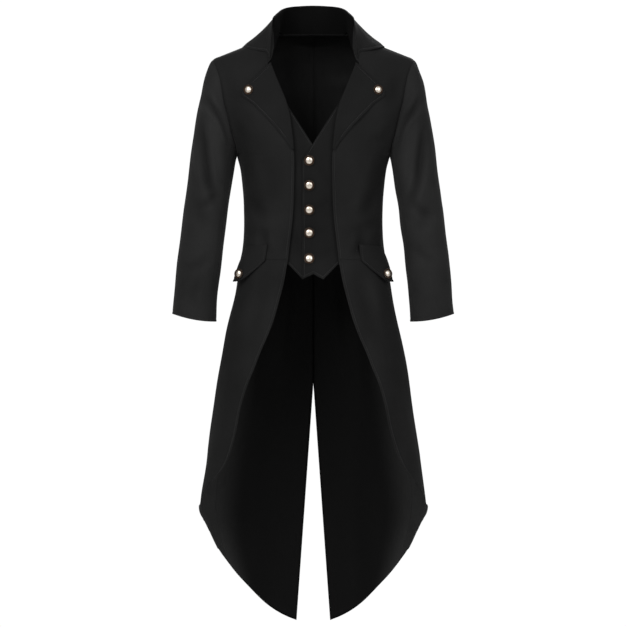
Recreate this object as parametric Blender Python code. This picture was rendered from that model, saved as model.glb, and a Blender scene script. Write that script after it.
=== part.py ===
# A black tailcoat, filled out as if worn, with a false waistcoat.
# Tables and sizes are in millimetres, and finished meshes in metres.
# +Z is up, the coat faces -Y, and +X is the wearer's left.
# The origin lies on the centre line, level with the neck opening's sides.

import math
from collections import namedtuple

import bmesh
import bpy
import numpy as np
from mathutils import Vector

MM = 0.001

# Cloth and gaps
CLOTH = 2.0
VEST_CLOTH = 1.6
LINING = 1.0
SEAM_GAP = 0.3
LAY_GAP = 0.8
LINING_GAP = 0.7
FALL_GAP = 3.0

# Shoulders, armholes and waist
SHOULDER_Y = 3.0
SHOULDER_SLOPE = 0.40
TIP_X = 220.7
TIP_Z = -20.0
ARMPIT_Z = -233.0
WAIST_Z = -462.0
SIDE_SEAM_Y = 8.0
CHEST_POWER = 2.3
ARMHOLE_FRONT_REACH = 60.0
ARMHOLE_BACK_REACH = 62.0
ARMHOLE_ANGLES = (180, 166, 152, 138, 124, 110, 96, 82, 68, 54, 41, 28, 14, 0)
NECKLINE_START = 9
SHOULDER_LIFT_POWER = 0.8
TOP_WRAP = 0.8
FRONT_COLUMNS = 11
BACK_COLUMNS = 9

# Tails
VENT_TOP_Z = -735.0
VENT_HALF_WIDTH = 37.0
CORNER_Z = -1001.0
TIP_TAIL_Z = -1254.0
SKIRT_ROWS = 15
SKIRT_COLUMNS = 18
LINING_COLUMN = 12

# Lapels, flaps and buttons
ROLL_SETBACK = 7.5
FLAP_STAND = 14.0
COAT_BUTTON_RADIUS = 10.5
COAT_BUTTON_HEIGHT = 6.0
VEST_BUTTON_RADIUS = 11.0
VEST_BUTTON_HEIGHT = 5.0
BUTTON_SIDES = 16

Trunk = namedtuple("Trunk", "z half_width front_depth back_depth")
TRUNK = (
    Trunk(-1254, 252, 138, 158),
    Trunk(-1113, 251, 137, 156),
    Trunk(-1001, 249, 136, 153),
    Trunk(-902, 235, 133, 147),
    Trunk(-770, 216, 128, 136),
    Trunk(-638, 194, 121, 122),
    Trunk(-535, 172, 114, 108),
    Trunk(-462, 160.5, 108, 97),
    Trunk(-440, 156, 105, 92),
    Trunk(-400, 152.5, 104, 86),
    Trunk(-348, 152.5, 109, 86),
    Trunk(-300, 156, 118, 91),
    Trunk(-268, 159.5, 122, 95),
    Trunk(-233, 168, 124, 97),
)
BODICE_ROWS_Z = (-462, -440, -410, -376, -340, -302, -264)

# Armhole edge as the front view shows it
Armhole = namedtuple("Armhole", "z x")
ARMHOLE = (
    Armhole(-233, 168), Armhole(-205, 173), Armhole(-184, 180), Armhole(-151, 187.7),
    Armhole(-111, 198), Armhole(-87.6, 202), Armhole(-54.6, 209), Armhole(-28.6, 218), Armhole(-20, 220.7),
)

# How far forward and back the centre line lies, by height of the armhole edge
Centre = namedtuple("Centre", "z front_y back_y")
CENTRE = (
    Centre(-233, -116, 105), Centre(-186, -115, 106), Centre(-137, -110, 103), Centre(-87, -98, 96),
    Centre(-64, -88, 86), Centre(-46, -70, 74), Centre(-32.5, -48, 54), Centre(-23, -22, 30),
    Centre(-20, 3, 3),
)

# Visible front edge: down the neckline, the roll of the lapel and the opening
FrontEdge = namedtuple("FrontEdge", "z x")
FRONT_EDGE = (
    FrontEdge(-462, 55.7), FrontEdge(-440, 53.5), FrontEdge(-363, 44.7), FrontEdge(-308, 42.5),
    FrontEdge(-220, 42.5), FrontEdge(-170, 47.5), FrontEdge(-121, 55.7), FrontEdge(-74, 74.4),
    FrontEdge(-26, 93), FrontEdge(-2, 88), FrontEdge(18, 82), FrontEdge(33, 77.5), FrontEdge(38, 76),
)
BACK_NECK_X = (0.0, 38.0, 60.0, 72.0, 76.0)

# Cutaway edge of the skirt, from the waist to the side corner
Cutaway = namedtuple("Cutaway", "z x")
CUTAWAY = (
    Cutaway(-462, 55.7), Cutaway(-510, 64.5), Cutaway(-559, 76.8), Cutaway(-592, 86), Cutaway(-629, 99.9),
    Cutaway(-661, 114), Cutaway(-702, 130), Cutaway(-735, 143.9), Cutaway(-772, 155.5),
    Cutaway(-847, 171.8), Cutaway(-878, 181), Cutaway(-920, 199.5), Cutaway(-953, 226),
    Cutaway(-988, 245.7), Cutaway(-1001, 249),
)

# Hem of the tail by angle from the centre front, from the side corner to the tip at the vent
Hem = namedtuple("Hem", "angle z")
HEM = (
    Hem(90, -1001), Hem(99, -1017), Hem(107.6, -1035), Hem(114.8, -1060), Hem(129, -1113),
    Hem(141.4, -1166), Hem(156.2, -1219), Hem(166.6, -1245), Hem(171.7, -1254),
)

# Soft flutes in the skirt: angle from the centre front, width, and depth at the hem
Flute = namedtuple("Flute", "angle width depth")
FLUTES = (
    Flute(58, 9, -4), Flute(112, 8, -5), Flute(129, 9, 6), Flute(146, 8, -5), Flute(161, 8, 6),
)

# Sleeve rings: share of the length, outer and inner outline, and reach to front and back
Sleeve = namedtuple("Sleeve", "share outer_x outer_z inner_x inner_z centre_y front back")
SLEEVE = (
    Sleeve(0.00, 220.7, -20, 168.0, -233, 5.5, 60, 62),
    Sleeve(0.06, 231.0, -38, 169.6, -239, 5, 66, 67),
    Sleeve(0.13, 240.5, -65, 171.5, -250, 4, 71, 70),
    Sleeve(0.21, 247.5, -100, 174.5, -268, 3, 73, 71),
    Sleeve(0.30, 256.5, -145, 178.6, -292, 1, 73, 70),
    Sleeve(0.40, 266.0, -205, 184.0, -328, -2, 72, 68),
    Sleeve(0.50, 274.0, -268, 190.0, -372, -4, 70, 66),
    Sleeve(0.62, 284.0, -345, 196.5, -425, -7, 67, 63),
    Sleeve(0.75, 294.5, -428, 203.2, -483, -11, 65, 60),
    Sleeve(0.88, 303.7, -508, 210.5, -543, -15, 62, 58),
    Sleeve(1.00, 309.5, -581, 213.0, -594, -19, 60, 57),
)
SLEEVE_SHARES = (0, .03, .06, .10, .15, .20, .26, .32, .38, .45, .52, .60, .68, .76, .84, .92, 1.0)
FRONT_SLEEVE_SEAM = 10
BACK_SLEEVE_SEAM = 17
CUFF_SAG = 6.0

# Sleeve creases, as lines in the front view: points, half width and depth
Crease = namedtuple("Crease", "face points half_width depth")
CREASES = (
    Crease("front", ((236, -104), (222, -130), (206, -146), (190, -168), (174, -214)), 11, 7),
    Crease("front", ((243, -152), (240, -205), (234, -255), (226, -300), (204, -345)), 11, 6),
    Crease("front", ((222, -165), (208, -205), (201, -255), (200, -300)), 13, -4),
    Crease("front", ((262, -330), (244, -372), (224, -398)), 13, 3),
    Crease("back", ((240, -118), (220, -142), (200, -165), (180, -210)), 12, 6),
    Crease("back", ((246, -190), (238, -240), (222, -290), (200, -330)), 12, 5),
    Crease("back", ((276, -320), (250, -352), (222, -366)), 13, 4),
)

# Collar stations from the front end to the centre back: fold line, then fall edge and its hollow
Fold = namedtuple("Fold", "x y z")
FOLD = (
    Fold(88, -58, 69), Fold(87, -46, 71), Fold(85, -33, 74), Fold(82, -18, 77), Fold(78, -2, 81),
    Fold(74, 13, 84.5), Fold(70, 28, 88), Fold(64, 43, 91), Fold(56, 56, 93.5), Fold(45, 68, 95.5),
    Fold(32, 78, 96.7), Fold(16, 84.5, 97), Fold(0, 86.5, 97),
)
FallEdge = namedtuple("FallEdge", "face x z hollow")
FALL_EDGE = (
    FallEdge("front", 95, -22, -2), FallEdge("front", 105, -6, 0), FallEdge("front", 122, -3, 3),
    FallEdge("front", 145, 2, 5), FallEdge("front", 158, 4.5, 6), FallEdge("back", 155, 1, 6),
    FallEdge("back", 147, -6, 6), FallEdge("back", 133, -11, 5), FallEdge("back", 113, -15, 4),
    FallEdge("back", 88, -18, 3), FallEdge("back", 60, -19, 2), FallEdge("back", 30, -20, 2),
    FallEdge("back", 0, -20, 2),
)
FOLD_RADIUS = 4.5
CLEAR_OF_PANEL = 5.0
STAND_STEPS = 4
ROLL_STEPS = 3
FALL_STEPS = 6

# Lapel: roll line from the gorge down, and its outer edge from the point down
LapelRow = namedtuple("LapelRow", "roll_x roll_z edge_x edge_z")
LAPEL = (
    LapelRow(93.0, -29, 157, -90), LapelRow(89.5, -38, 157.5, -99), LapelRow(83.0, -55, 146, -110),
    LapelRow(75.5, -73, 133, -119.5), LapelRow(68.0, -91, 120, -133), LapelRow(61.0, -108, 108, -145),
    LapelRow(55.7, -124, 97, -157), LapelRow(51.5, -142, 86, -168), LapelRow(48.5, -160, 75, -182),
    LapelRow(46.0, -180, 65, -195), LapelRow(43.8, -200, 55, -208), LapelRow(42.5, -218, 48, -219.5),
)
# Section across the lapel: distance from the roll, or share of the width, and height of the face
ROLL_SECTION = ((3.4, -2.0), (1.0, -0.8), (0.0, 1.6), (1.3, 4.0), (4.2, 5.0))
FACE_SHARES = (0.28, 0.46, 0.64, 0.82, 1.0)
EDGE_HEIGHT = 2.8

# Waistcoat: hem of each front, from its lap to under the coat
HemPoint = namedtuple("HemPoint", "x z")
VEST_HEM_LEFT = (
    HemPoint(-25, -504.5), HemPoint(-12, -498.5), HemPoint(0, -492.8), HemPoint(11, -499),
    HemPoint(22, -505), HemPoint(54, -473), HemPoint(100, -445),
)
VEST_HEM_RIGHT = (
    HemPoint(4, -486), HemPoint(-8, -490), HemPoint(-24, -504.5), HemPoint(-54.6, -473),
    HemPoint(-100, -445),
)
VEST_X_LEFT = (-25, -17, -9, 0, 11, 22, 38, 54, 69, 84, 100)
VEST_X_RIGHT = (-100, -84, -69, -54.6, -44, -34, -24, -16, -8, 4)
VEST_V_X = -2.0
VEST_V_Z = -208.0
VEST_V_SLOPE = 1.55
VEST_ROWS = 11
VEST_SINK = 8.0
VEST_BUTTON_X = -9.0
VEST_BUTTONS_Z = (-244, -299, -353, -403, -458)

# Flap: angle round the hip from the centre front, with its upper and lower edge
FlapColumn = namedtuple("FlapColumn", "angle top_z bottom_z")
FLAP = (
    FlapColumn(40.5, -428, -464), FlapColumn(47, -429, -478), FlapColumn(54, -430, -491),
    FlapColumn(61, -431, -503), FlapColumn(67, -432, -509.5), FlapColumn(73.5, -433, -512),
)
FLAP_ROWS = 6
FLAP_BUTTON = (157.0, -494.0)
LAPEL_BUTTON = (140.6, -88.7)

Finish = namedtuple("Finish", "colour roughness metallic")
FINISHES = {
    "wool": Finish((0.016, 0.016, 0.017), 0.85, 0.0),
    "sleeve_wool": Finish((0.021, 0.021, 0.022), 0.85, 0.0),
    "waistcoat_wool": Finish((0.012, 0.012, 0.014), 0.85, 0.0),
    "lining": Finish((0.004, 0.004, 0.004), 0.55, 0.0),
    "pale_brass": Finish((0.60, 0.56, 0.46), 0.35, 1.0),
}


def column(table, name):
    return np.array([getattr(row, name) for row in table], float)


def smooth(knots, values, at):
    """Cubic curve through the values, each slope taken from its neighbours."""
    knots = np.asarray(knots, float)
    values = np.asarray(values, float)
    at = np.clip(np.asarray(at, float), knots[0], knots[-1])
    slopes = np.gradient(values, knots, axis=0)
    index = np.clip(np.searchsorted(knots, at) - 1, 0, len(knots) - 2)
    width = knots[index + 1] - knots[index]
    t = (at - knots[index]) / width
    rise = values[index + 1] - values[index]
    bend_in = slopes[index] * width - rise
    bend_out = rise - slopes[index + 1] * width
    eased = t * (1 - t) * (bend_in * (1 - t) + bend_out * t)
    return values[index] + rise * t + eased


def unit(vectors):
    length = np.linalg.norm(vectors, axis=-1, keepdims=True)
    return vectors / np.maximum(length, 1e-9)


def trunk_size(z, name):
    return smooth(column(TRUNK, "z"), column(TRUNK, name), z)


def armhole_rows():
    """Edge of the armhole as seen from the front, from the armpit to the shoulder tip."""
    angle = np.radians(np.array(ARMHOLE_ANGLES, float))
    half = (TIP_Z - ARMPIT_Z) / 2
    z = ARMPIT_Z + half + half * np.cos(angle)
    x = smooth(column(ARMHOLE, "z"), column(ARMHOLE, "x"), z)
    return angle, x, z


def bodice_rows(face):
    """Rows of a bodice face from the waist seam to the shoulder seam.

    Each row keeps its outer edge, its place on the centre line, how far round it
    goes, and how much it tilts up towards the neck."""
    low_z = np.array(BODICE_ROWS_Z, float)
    angle, arm_x, arm_z = armhole_rows()
    bow = np.abs(np.sin(angle)) ** 0.8
    bow[0] = bow[-1] = 0.0
    middle = SIDE_SEAM_Y + (SHOULDER_Y - SIDE_SEAM_Y) * (1 + np.cos(angle)) / 2
    climb = np.clip((arm_z - ARMPIT_Z) / (TIP_Z - ARMPIT_Z), 0, 1)
    if face == "front":
        edge_y = middle - ARMHOLE_FRONT_REACH * bow
        low_centre = SIDE_SEAM_Y - trunk_size(low_z, "front_depth")
        high_centre = smooth(column(CENTRE, "z"), column(CENTRE, "front_y"), arm_z)
    else:
        edge_y = middle + ARMHOLE_BACK_REACH * bow
        low_centre = SIDE_SEAM_Y + trunk_size(low_z, "back_depth")
        high_centre = smooth(column(CENTRE, "z"), column(CENTRE, "back_y"), arm_z)
    high_centre[-1] = SHOULDER_Y
    cut = (edge_y[:-1] - middle[:-1]) / (high_centre[:-1] - middle[:-1])
    wrap = np.append((1 - cut ** CHEST_POWER) ** (1 / CHEST_POWER), TOP_WRAP)
    return {
        "z": np.concatenate([low_z, arm_z]),
        "x": np.concatenate([trunk_size(low_z, "half_width"), arm_x]),
        "edge_y": np.concatenate([np.full(len(low_z), SIDE_SEAM_Y), edge_y]),
        "centre_y": np.concatenate([low_centre, high_centre]),
        "wrap": np.concatenate([np.ones(len(low_z)), wrap]),
        "lift": np.concatenate([np.zeros(len(low_z)), climb ** SHOULDER_LIFT_POWER]),
    }


def row_point(rows, index, x):
    """Point of a row at a distance x from the centre line, on a rounded section."""
    wrap = rows["wrap"][index]
    edge_x = rows["x"][index]
    reach = np.clip(wrap * np.abs(x) / edge_x, 0, 1)
    end = (1 - np.minimum(wrap, 1.0) ** CHEST_POWER) ** (1 / CHEST_POWER)
    share = ((1 - reach ** CHEST_POWER) ** (1 / CHEST_POWER) - end) / (1 - end)
    share = np.maximum(share, 0)
    y = rows["edge_y"][index] + (rows["centre_y"][index] - rows["edge_y"][index]) * share
    z = rows["z"][index] + rows["lift"][index] * SHOULDER_SLOPE * (edge_x - np.abs(x))
    return y, z


def front_edge_x(z):
    """Where the front panel's own edge runs, set back under the rolled lapel."""
    edge = smooth(column(FRONT_EDGE, "z"), column(FRONT_EDGE, "x"), z)
    under_roll = np.clip((z + 225) / 15, 0, 1) * np.clip((-z - 20) / 8, 0, 1)
    return edge + ROLL_SETBACK * under_roll


def bodice_grid(face):
    """Points of a bodice face for the wearer's left side, rows from the waist up."""
    rows = bodice_rows(face)
    count = FRONT_COLUMNS if face == "front" else BACK_COLUMNS
    neckline_row = len(BODICE_ROWS_Z) + NECKLINE_START
    grid = np.zeros((len(rows["z"]), count, 3))
    for index in range(len(rows["z"])):
        if face == "front":
            inner_x = 60.0
            for _ in range(30):
                inner_x = 0.5 * inner_x + 0.5 * float(front_edge_x(row_point(rows, index, inner_x)[1]))
        elif index >= neckline_row:
            inner_x = BACK_NECK_X[index - neckline_row]
        else:
            inner_x = 0.0
        wrap = rows["wrap"][index]
        edge_x = rows["x"][index]
        first = math.asin(wrap * inner_x / edge_x)
        last = math.asin(min(wrap, 1.0))
        x = edge_x * np.sin(np.linspace(first, last, count)) / wrap
        y, z = row_point(rows, index, x)
        grid[index] = np.stack([x, y, z], axis=1)
    grid[-1, :, 1] = SHOULDER_Y
    return grid


def grid_normals(grid, outward):
    """Unit normals of a grid, turned to the side where outward points."""
    normals = unit(np.cross(np.gradient(grid, axis=0), np.gradient(grid, axis=1)))
    if np.sum(normals * outward) < 0:
        normals = -normals
    return normals


def flatten(normals, axis):
    """Normals along a seam that lies in a plane, kept in that plane."""
    normals[..., axis] = 0
    normals[...] = unit(normals)


def surface_at(face, x, z):
    """Depth of the coat's outer surface at a place in the front or back view."""
    rows = bodice_rows(face)
    low = z < WAIST_Z
    distance = np.abs(x)
    depths = []
    heights = []
    for index in range(len(rows["z"])):
        y, height = row_point(rows, index, distance)
        depths.append(y)
        heights.append(height)
    depths = np.array(depths)
    heights = np.array(heights)
    index = np.clip(np.sum(heights < z, axis=0) - 1, 0, len(heights) - 2)
    flat = np.arange(len(distance))
    start = heights[index, flat]
    share = np.clip((z - start) / (heights[index + 1, flat] - start), 0, 1)
    y = depths[index, flat] * (1 - share) + depths[index + 1, flat] * share
    reach = np.clip(distance / trunk_size(z, "half_width"), 0, 1)
    if face == "front":
        skirt_y = SIDE_SEAM_Y - trunk_size(z, "front_depth") * section_share(reach, z)
    else:
        skirt_y = SIDE_SEAM_Y + trunk_size(z, "back_depth") * section_share(reach, z)
    return np.where(low, skirt_y, y)


def section_share(reach, z):
    """Depth share of a section, from a full chest above to a plain ellipse at the tails."""
    power = np.interp(z, (-760, WAIST_Z), (2.0, CHEST_POWER))
    return np.maximum(1 - reach ** power, 0) ** (1 / power)


def place(face, x, z, height):
    """Points a given height above the coat's outer surface, along its normal."""
    x = np.asarray(x, float)
    shape = x.shape
    flat_x = x.ravel()
    flat_z = np.broadcast_to(np.asarray(z, float), shape).ravel()
    flat_h = np.broadcast_to(np.asarray(height, float), shape).ravel()
    step = 2.0
    y = surface_at(face, flat_x, flat_z)
    rise_x = surface_at(face, flat_x + step, flat_z) - surface_at(face, flat_x - step, flat_z)
    rise_z = surface_at(face, flat_x, flat_z + step) - surface_at(face, flat_x, flat_z - step)
    slope_x = rise_x / (2 * step)
    slope_z = rise_z / (2 * step)
    facing = -1.0 if face == "front" else 1.0
    normals = unit(np.stack([-facing * slope_x, np.full(len(y), facing), -facing * slope_z], axis=1))
    points = np.stack([flat_x, y, flat_z], axis=1) + normals * flat_h[:, None]
    return points.reshape(shape + (3,)), normals.reshape(shape + (3,))


def pull_back(outer, inner, edge, direction, distance=SEAM_GAP / 2):
    """Move the edge of a wall away from its neighbour."""
    shift = direction * distance
    outer[edge] += shift
    inner[edge] += shift


def across_seam(curve, depth, towards):
    """Direction square to a seam and to the wall's depth there, on the side of towards."""
    along = unit(np.gradient(curve, axis=0))
    side = unit(np.cross(along, depth))
    sign = np.sign(np.sum(side * towards, axis=1, keepdims=True))
    return side * sign


def cloth_wall(name, outer, inner, finish, mirrored=False):
    """Closed wall between two grids of points, joined round its edge."""
    rows, columns = outer.shape[:2]
    points = np.concatenate([outer.reshape(-1, 3), inner.reshape(-1, 3)]) * MM
    if mirrored:
        points = points * np.array([-1.0, 1.0, 1.0])
    offset = rows * columns
    mesh = bpy.data.meshes.new(name)
    shape = bmesh.new()
    verts = [shape.verts.new(point) for point in points]
    for row in range(rows - 1):
        for col in range(columns - 1):
            corner = row * columns + col
            ring = (corner, corner + 1, corner + columns + 1, corner + columns)
            shape.faces.new([verts[i] for i in ring])
            shape.faces.new([verts[i + offset] for i in reversed(ring)])
    border = [col for col in range(columns)]
    border += [row * columns + columns - 1 for row in range(1, rows)]
    border += [(rows - 1) * columns + col for col in range(columns - 2, -1, -1)]
    border += [row * columns for row in range(rows - 2, 0, -1)]
    for here, after in zip(border, border[1:] + border[:1]):
        shape.faces.new([verts[i] for i in (after, here, here + offset, after + offset)])
    bmesh.ops.triangulate(shape, faces=shape.faces)
    bmesh.ops.recalc_face_normals(shape, faces=shape.faces)
    if shape.calc_volume(signed=True) < 0:
        bmesh.ops.reverse_faces(shape, faces=shape.faces)
    shape.to_mesh(mesh)
    shape.free()
    return add_object(name, mesh, finish)


def add_object(name, mesh, finish):
    mesh.shade_smooth()
    mesh.set_sharp_from_angle(angle=math.radians(40))
    piece = bpy.data.objects.new(name, mesh)
    bpy.context.scene.collection.objects.link(piece)
    material = bpy.data.materials.new(name + "_" + finish)
    material.use_nodes = True
    shader = material.node_tree.nodes["Principled BSDF"]
    shader.inputs["Base Color"].default_value = (*FINISHES[finish].colour, 1)
    shader.inputs["Roughness"].default_value = FINISHES[finish].roughness
    shader.inputs["Metallic"].default_value = FINISHES[finish].metallic
    mesh.materials.append(material)
    return piece


def both_sides(name, outer, inner, finish):
    cloth_wall(name + "_left", outer, inner, finish)
    cloth_wall(name + "_right", outer, inner, finish, mirrored=True)


def sleeve_grid():
    """Rings of the sleeve from the armhole to the cuff.

    A ring runs from its outer point down the front to its inner point and up the
    back: along the line between the two by cosine, and to front and back by sine."""
    angle = armhole_rows()[0]
    order = np.argsort(angle)
    around = np.concatenate([angle[order], (2 * math.pi - angle[order][-2:0:-1])])
    share = np.array(SLEEVE_SHARES)
    knots = column(SLEEVE, "share")
    size = {name: smooth(knots, column(SLEEVE, name), share)[:, None] for name in Sleeve._fields}
    cosine = np.cos(around)[None, :]
    bow = np.abs(np.sin(around)) ** 0.85
    reach = np.where(np.sin(around) >= 0, -size["front"], size["back"])
    x = (size["outer_x"] + size["inner_x"]) / 2 + (size["outer_x"] - size["inner_x"]) / 2 * cosine
    z = (size["outer_z"] + size["inner_z"]) / 2 + (size["outer_z"] - size["inner_z"]) / 2 * cosine
    z = z - CUFF_SAG * share[:, None] ** 4 * np.sin(around)[None, :] ** 2
    y = size["centre_y"] + reach * bow[None, :]
    grid = np.stack([x, y, z], axis=2)
    front = bodice_grid("front")[len(BODICE_ROWS_Z):, -1]
    back = bodice_grid("back")[len(BODICE_ROWS_Z):, -1]
    grid[0] = np.concatenate([front[::-1], back[1:-1]])
    return grid


def distance_to_line(x, z, points):
    """Distance in the front view from each place to a broken line, and the share along it."""
    points = np.array(points, float)
    steps = np.linalg.norm(np.diff(points, axis=0), axis=1)
    starts = np.concatenate([[0], np.cumsum(steps)])
    nearest = np.full(x.shape, 1e9)
    along = np.zeros(x.shape)
    for start, end, begin, length in zip(points[:-1], points[1:], starts[:-1], steps):
        direction = (end - start) / length
        run = np.clip((x - start[0]) * direction[0] + (z - start[1]) * direction[1], 0, length)
        gap = np.hypot(x - start[0] - run * direction[0], z - start[1] - run * direction[1])
        along = np.where(gap < nearest, (begin + run) / starts[-1], along)
        nearest = np.minimum(gap, nearest)
    return nearest, along


def crease_sleeve(grid, normals):
    """Sink each crease as a soft trough that fades at both ends and at the armhole."""
    fade_in = np.clip(np.array(SLEEVE_SHARES) / 0.12, 0, 1)[:, None]
    sunk = np.zeros(grid.shape[:2])
    for crease in CREASES:
        facing = normals[..., 1] < 0.1 if crease.face == "front" else normals[..., 1] > -0.1
        gap, along = distance_to_line(grid[..., 0], grid[..., 2], crease.points)
        ends = np.sqrt(np.clip(np.sin(math.pi * (0.06 + 0.88 * along)), 0, 1))
        sunk += crease.depth * np.exp(-(gap / crease.half_width) ** 2) * ends * facing
    return grid - normals * (sunk * fade_in)[..., None]


def ring_normals(grid):
    """Normals of closed rings, pointing out of the sleeve."""
    around = np.roll(grid, -1, axis=1) - np.roll(grid, 1, axis=1)
    normals = unit(np.cross(np.gradient(grid, axis=0), around))
    if np.sum(normals * (grid - grid.mean(axis=1, keepdims=True))) < 0:
        normals = -normals
    return normals


def build_body_and_sleeves():
    first_arm_row = len(BODICE_ROWS_Z)
    neck_row = first_arm_row + NECKLINE_START
    grids = {face: bodice_grid(face) for face in ("front", "back")}
    depth = {}
    for face, grid in grids.items():
        away = grid - np.array([0, SIDE_SEAM_Y, 0])
        away[..., 2] = 0
        depth[face] = grid_normals(grid, away)
        flatten(depth[face][0], 2)
        flatten(depth[face][:first_arm_row + 1, -1], 1)
        flatten(depth[face][-1], 1)
    flatten(depth["back"][:neck_row + 1, 0], 0)

    rings = sleeve_grid()
    ring_depth = ring_normals(rings)
    rings = crease_sleeve(rings, ring_depth)
    ring_depth = ring_normals(rings)
    arm_count = len(ARMHOLE_ANGLES)
    flatten(ring_depth[0, :1], 1)
    flatten(ring_depth[0, arm_count - 1:arm_count], 1)
    front_depth = depth["front"][first_arm_row:, -1][::-1]
    back_depth = depth["back"][first_arm_row + 1:-1, -1]
    shared = unit(np.concatenate([front_depth, back_depth]) + ring_depth[0])
    ring_depth[0] = shared
    depth["front"][first_arm_row:, -1] = shared[:arm_count][::-1]
    depth["back"][first_arm_row:, -1] = np.concatenate([shared[arm_count - 1:], shared[:1]])

    collar = collar_shape(grids, depth)
    for face in ("front", "back"):
        depth[face][neck_row:, 0] = collar[face + "_depth"]
    flatten(depth["front"][-1, :1], 1)
    flatten(depth["back"][-1, :1], 1)
    flatten(depth["back"][neck_row, :1], 0)

    for face, grid in grids.items():
        outer = grid.copy()
        inner = grid - CLOTH * depth[face]
        inside = grid[:, -2] - grid[:, -1]
        arm = (slice(first_arm_row, None), -1)
        pull_back(outer, inner, arm, across_seam(grid[arm], depth[face][arm], inside[first_arm_row:]))
        side_sign = -1.0 if face == "front" else 1.0
        pull_back(outer, inner, (slice(0, first_arm_row + 1), -1), np.array([0, side_sign, 0]))
        pull_back(outer, inner, (-1, slice(None)), np.array([0, side_sign, 0]))
        pull_back(outer, inner, (0, slice(None)), np.array([0, 0, 1.0]))
        neck = (slice(neck_row, None), 0)
        neck_inside = grid[neck_row:, 1] - grid[neck_row:, 0]
        pull_back(outer, inner, neck, across_seam(grid[neck], depth[face][neck], neck_inside))
        if face == "back":
            pull_back(outer, inner, (slice(0, neck_row + 1), 0), np.array([1.0, 0, 0]))
        both_sides(face, outer, inner, "wool")
        if face == "back":
            lining_grid = grid[:, :-1] - (CLOTH + LINING_GAP) * depth[face][:, :-1]
            lining_grid[0] += np.array([0, 0, 2.0])
            lining_grid[:, 0] += np.array([0.4, 0, 0])
            lining_grid = lining_grid[:-1]
            both_sides("lining_back", lining_grid, lining_grid - LINING * depth[face][:-1, :-1], "lining")

    for name, stations in (
        ("top_sleeve", list(range(BACK_SLEEVE_SEAM, rings.shape[1])) + list(range(FRONT_SLEEVE_SEAM + 1))),
        ("under_sleeve", list(range(FRONT_SLEEVE_SEAM, BACK_SLEEVE_SEAM + 1))),
    ):
        part = rings[:, stations]
        part_depth = ring_depth[:, stations]
        outer = part.copy()
        inner = part - CLOTH * part_depth
        closed = np.concatenate([rings[0][-1:], rings[0], rings[0][:1]])
        wrapped = np.concatenate([ring_depth[0][-1:], ring_depth[0], ring_depth[0][:1]])
        run = rings[1] - rings[0]
        down = np.concatenate([run[-1:], run, run[:1]])
        direction = across_seam(closed, wrapped, down)[1:-1][stations]
        pull_back(outer, inner, (0, slice(None)), direction)
        for edge, neighbour in ((0, 1), (-1, -2)):
            seam = (slice(None), edge)
            into = part[:, neighbour] - part[:, edge]
            pull_back(outer, inner, seam, across_seam(part[seam], part_depth[seam], into))
        both_sides(name, outer, inner, "sleeve_wool")
    return collar


def collar_shape(grids, depth):
    """Stations of the collar from the gorge round to the centre back, with its seam depth."""
    neck_row = len(BODICE_ROWS_Z) + NECKLINE_START
    front = grids["front"][neck_row:, 0]
    back = grids["back"][neck_row:, 0][::-1]
    back_depth = depth["back"][neck_row:, 0][::-1]
    mids = (back[:-1] + back[1:]) / 2
    seam = [point for point in front]
    for low, middle in zip(back[1:], mids):
        seam += [middle, low]
    seam = np.array(seam)
    fold = np.stack([column(FOLD, name) for name in ("x", "y", "z")], axis=1)
    edge = []
    for station in FALL_EDGE:
        point, _ = place(station.face, np.array([station.x]), station.z, FALL_GAP + CLOTH)
        edge.append(point[0])
    edge = np.array(edge)
    on_ridge = len(front) - 1
    ridge_x = FALL_EDGE[on_ridge].x
    ridge_z = TIP_Z + SHOULDER_SLOPE * (TIP_X - ridge_x) + FALL_GAP + CLOTH
    edge[on_ridge] = (ridge_x, SHOULDER_Y, ridge_z)
    edge[-1][0] = 0
    outward = edge - fold
    outward[:, 2] = 0
    outward = unit(outward)
    plain = np.gradient(seam, axis=0)
    plain[:, 2] = 0
    square = unit(np.cross(plain, np.array([0, 0, 1.0])))
    square *= np.sign(np.sum(square * outward, axis=1, keepdims=True))
    square[-1] = (0, 1, 0)
    body_depth = np.concatenate([depth["front"][neck_row:, 0], back_depth[1:]])
    seam_depth = np.zeros_like(seam)
    last = len(seam) - 1
    matched = list(range(on_ridge)) + list(range(on_ridge, last + 1, 2))
    seam_depth[matched] = unit(body_depth + square[matched])
    seam_depth[on_ridge] = unit(seam_depth[on_ridge] * np.array([1, 0, 1]))
    seam_depth[last] = unit(seam_depth[last] * np.array([0, 1, 1]))
    front_off = front - grids["front"][neck_row:, 1]
    back_off = back - grids["back"][neck_row:, 1][::-1]
    front_rise = across_seam(front, seam_depth[:on_ridge + 1], front_off)
    back_rise = across_seam(back, seam_depth[on_ridge::2], back_off)
    rise = np.zeros_like(seam)
    rise[:on_ridge] = front_rise[:-1]
    rise[on_ridge] = unit(front_rise[-1] + back_rise[0])
    rise[on_ridge + 2::2] = back_rise[1:]
    for middle in range(on_ridge + 1, last, 2):
        seam_depth[middle] = (seam_depth[middle - 1] + seam_depth[middle + 1]) / 2
        rise[middle] = unit(rise[middle - 1] + rise[middle + 1])
    return {
        "seam": seam, "rise": rise, "fold": fold, "edge": edge, "outward": outward,
        "seam_depth": seam_depth,
        "front_depth": seam_depth[:on_ridge + 1], "back_depth": seam_depth[on_ridge:][::-2],
    }


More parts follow.
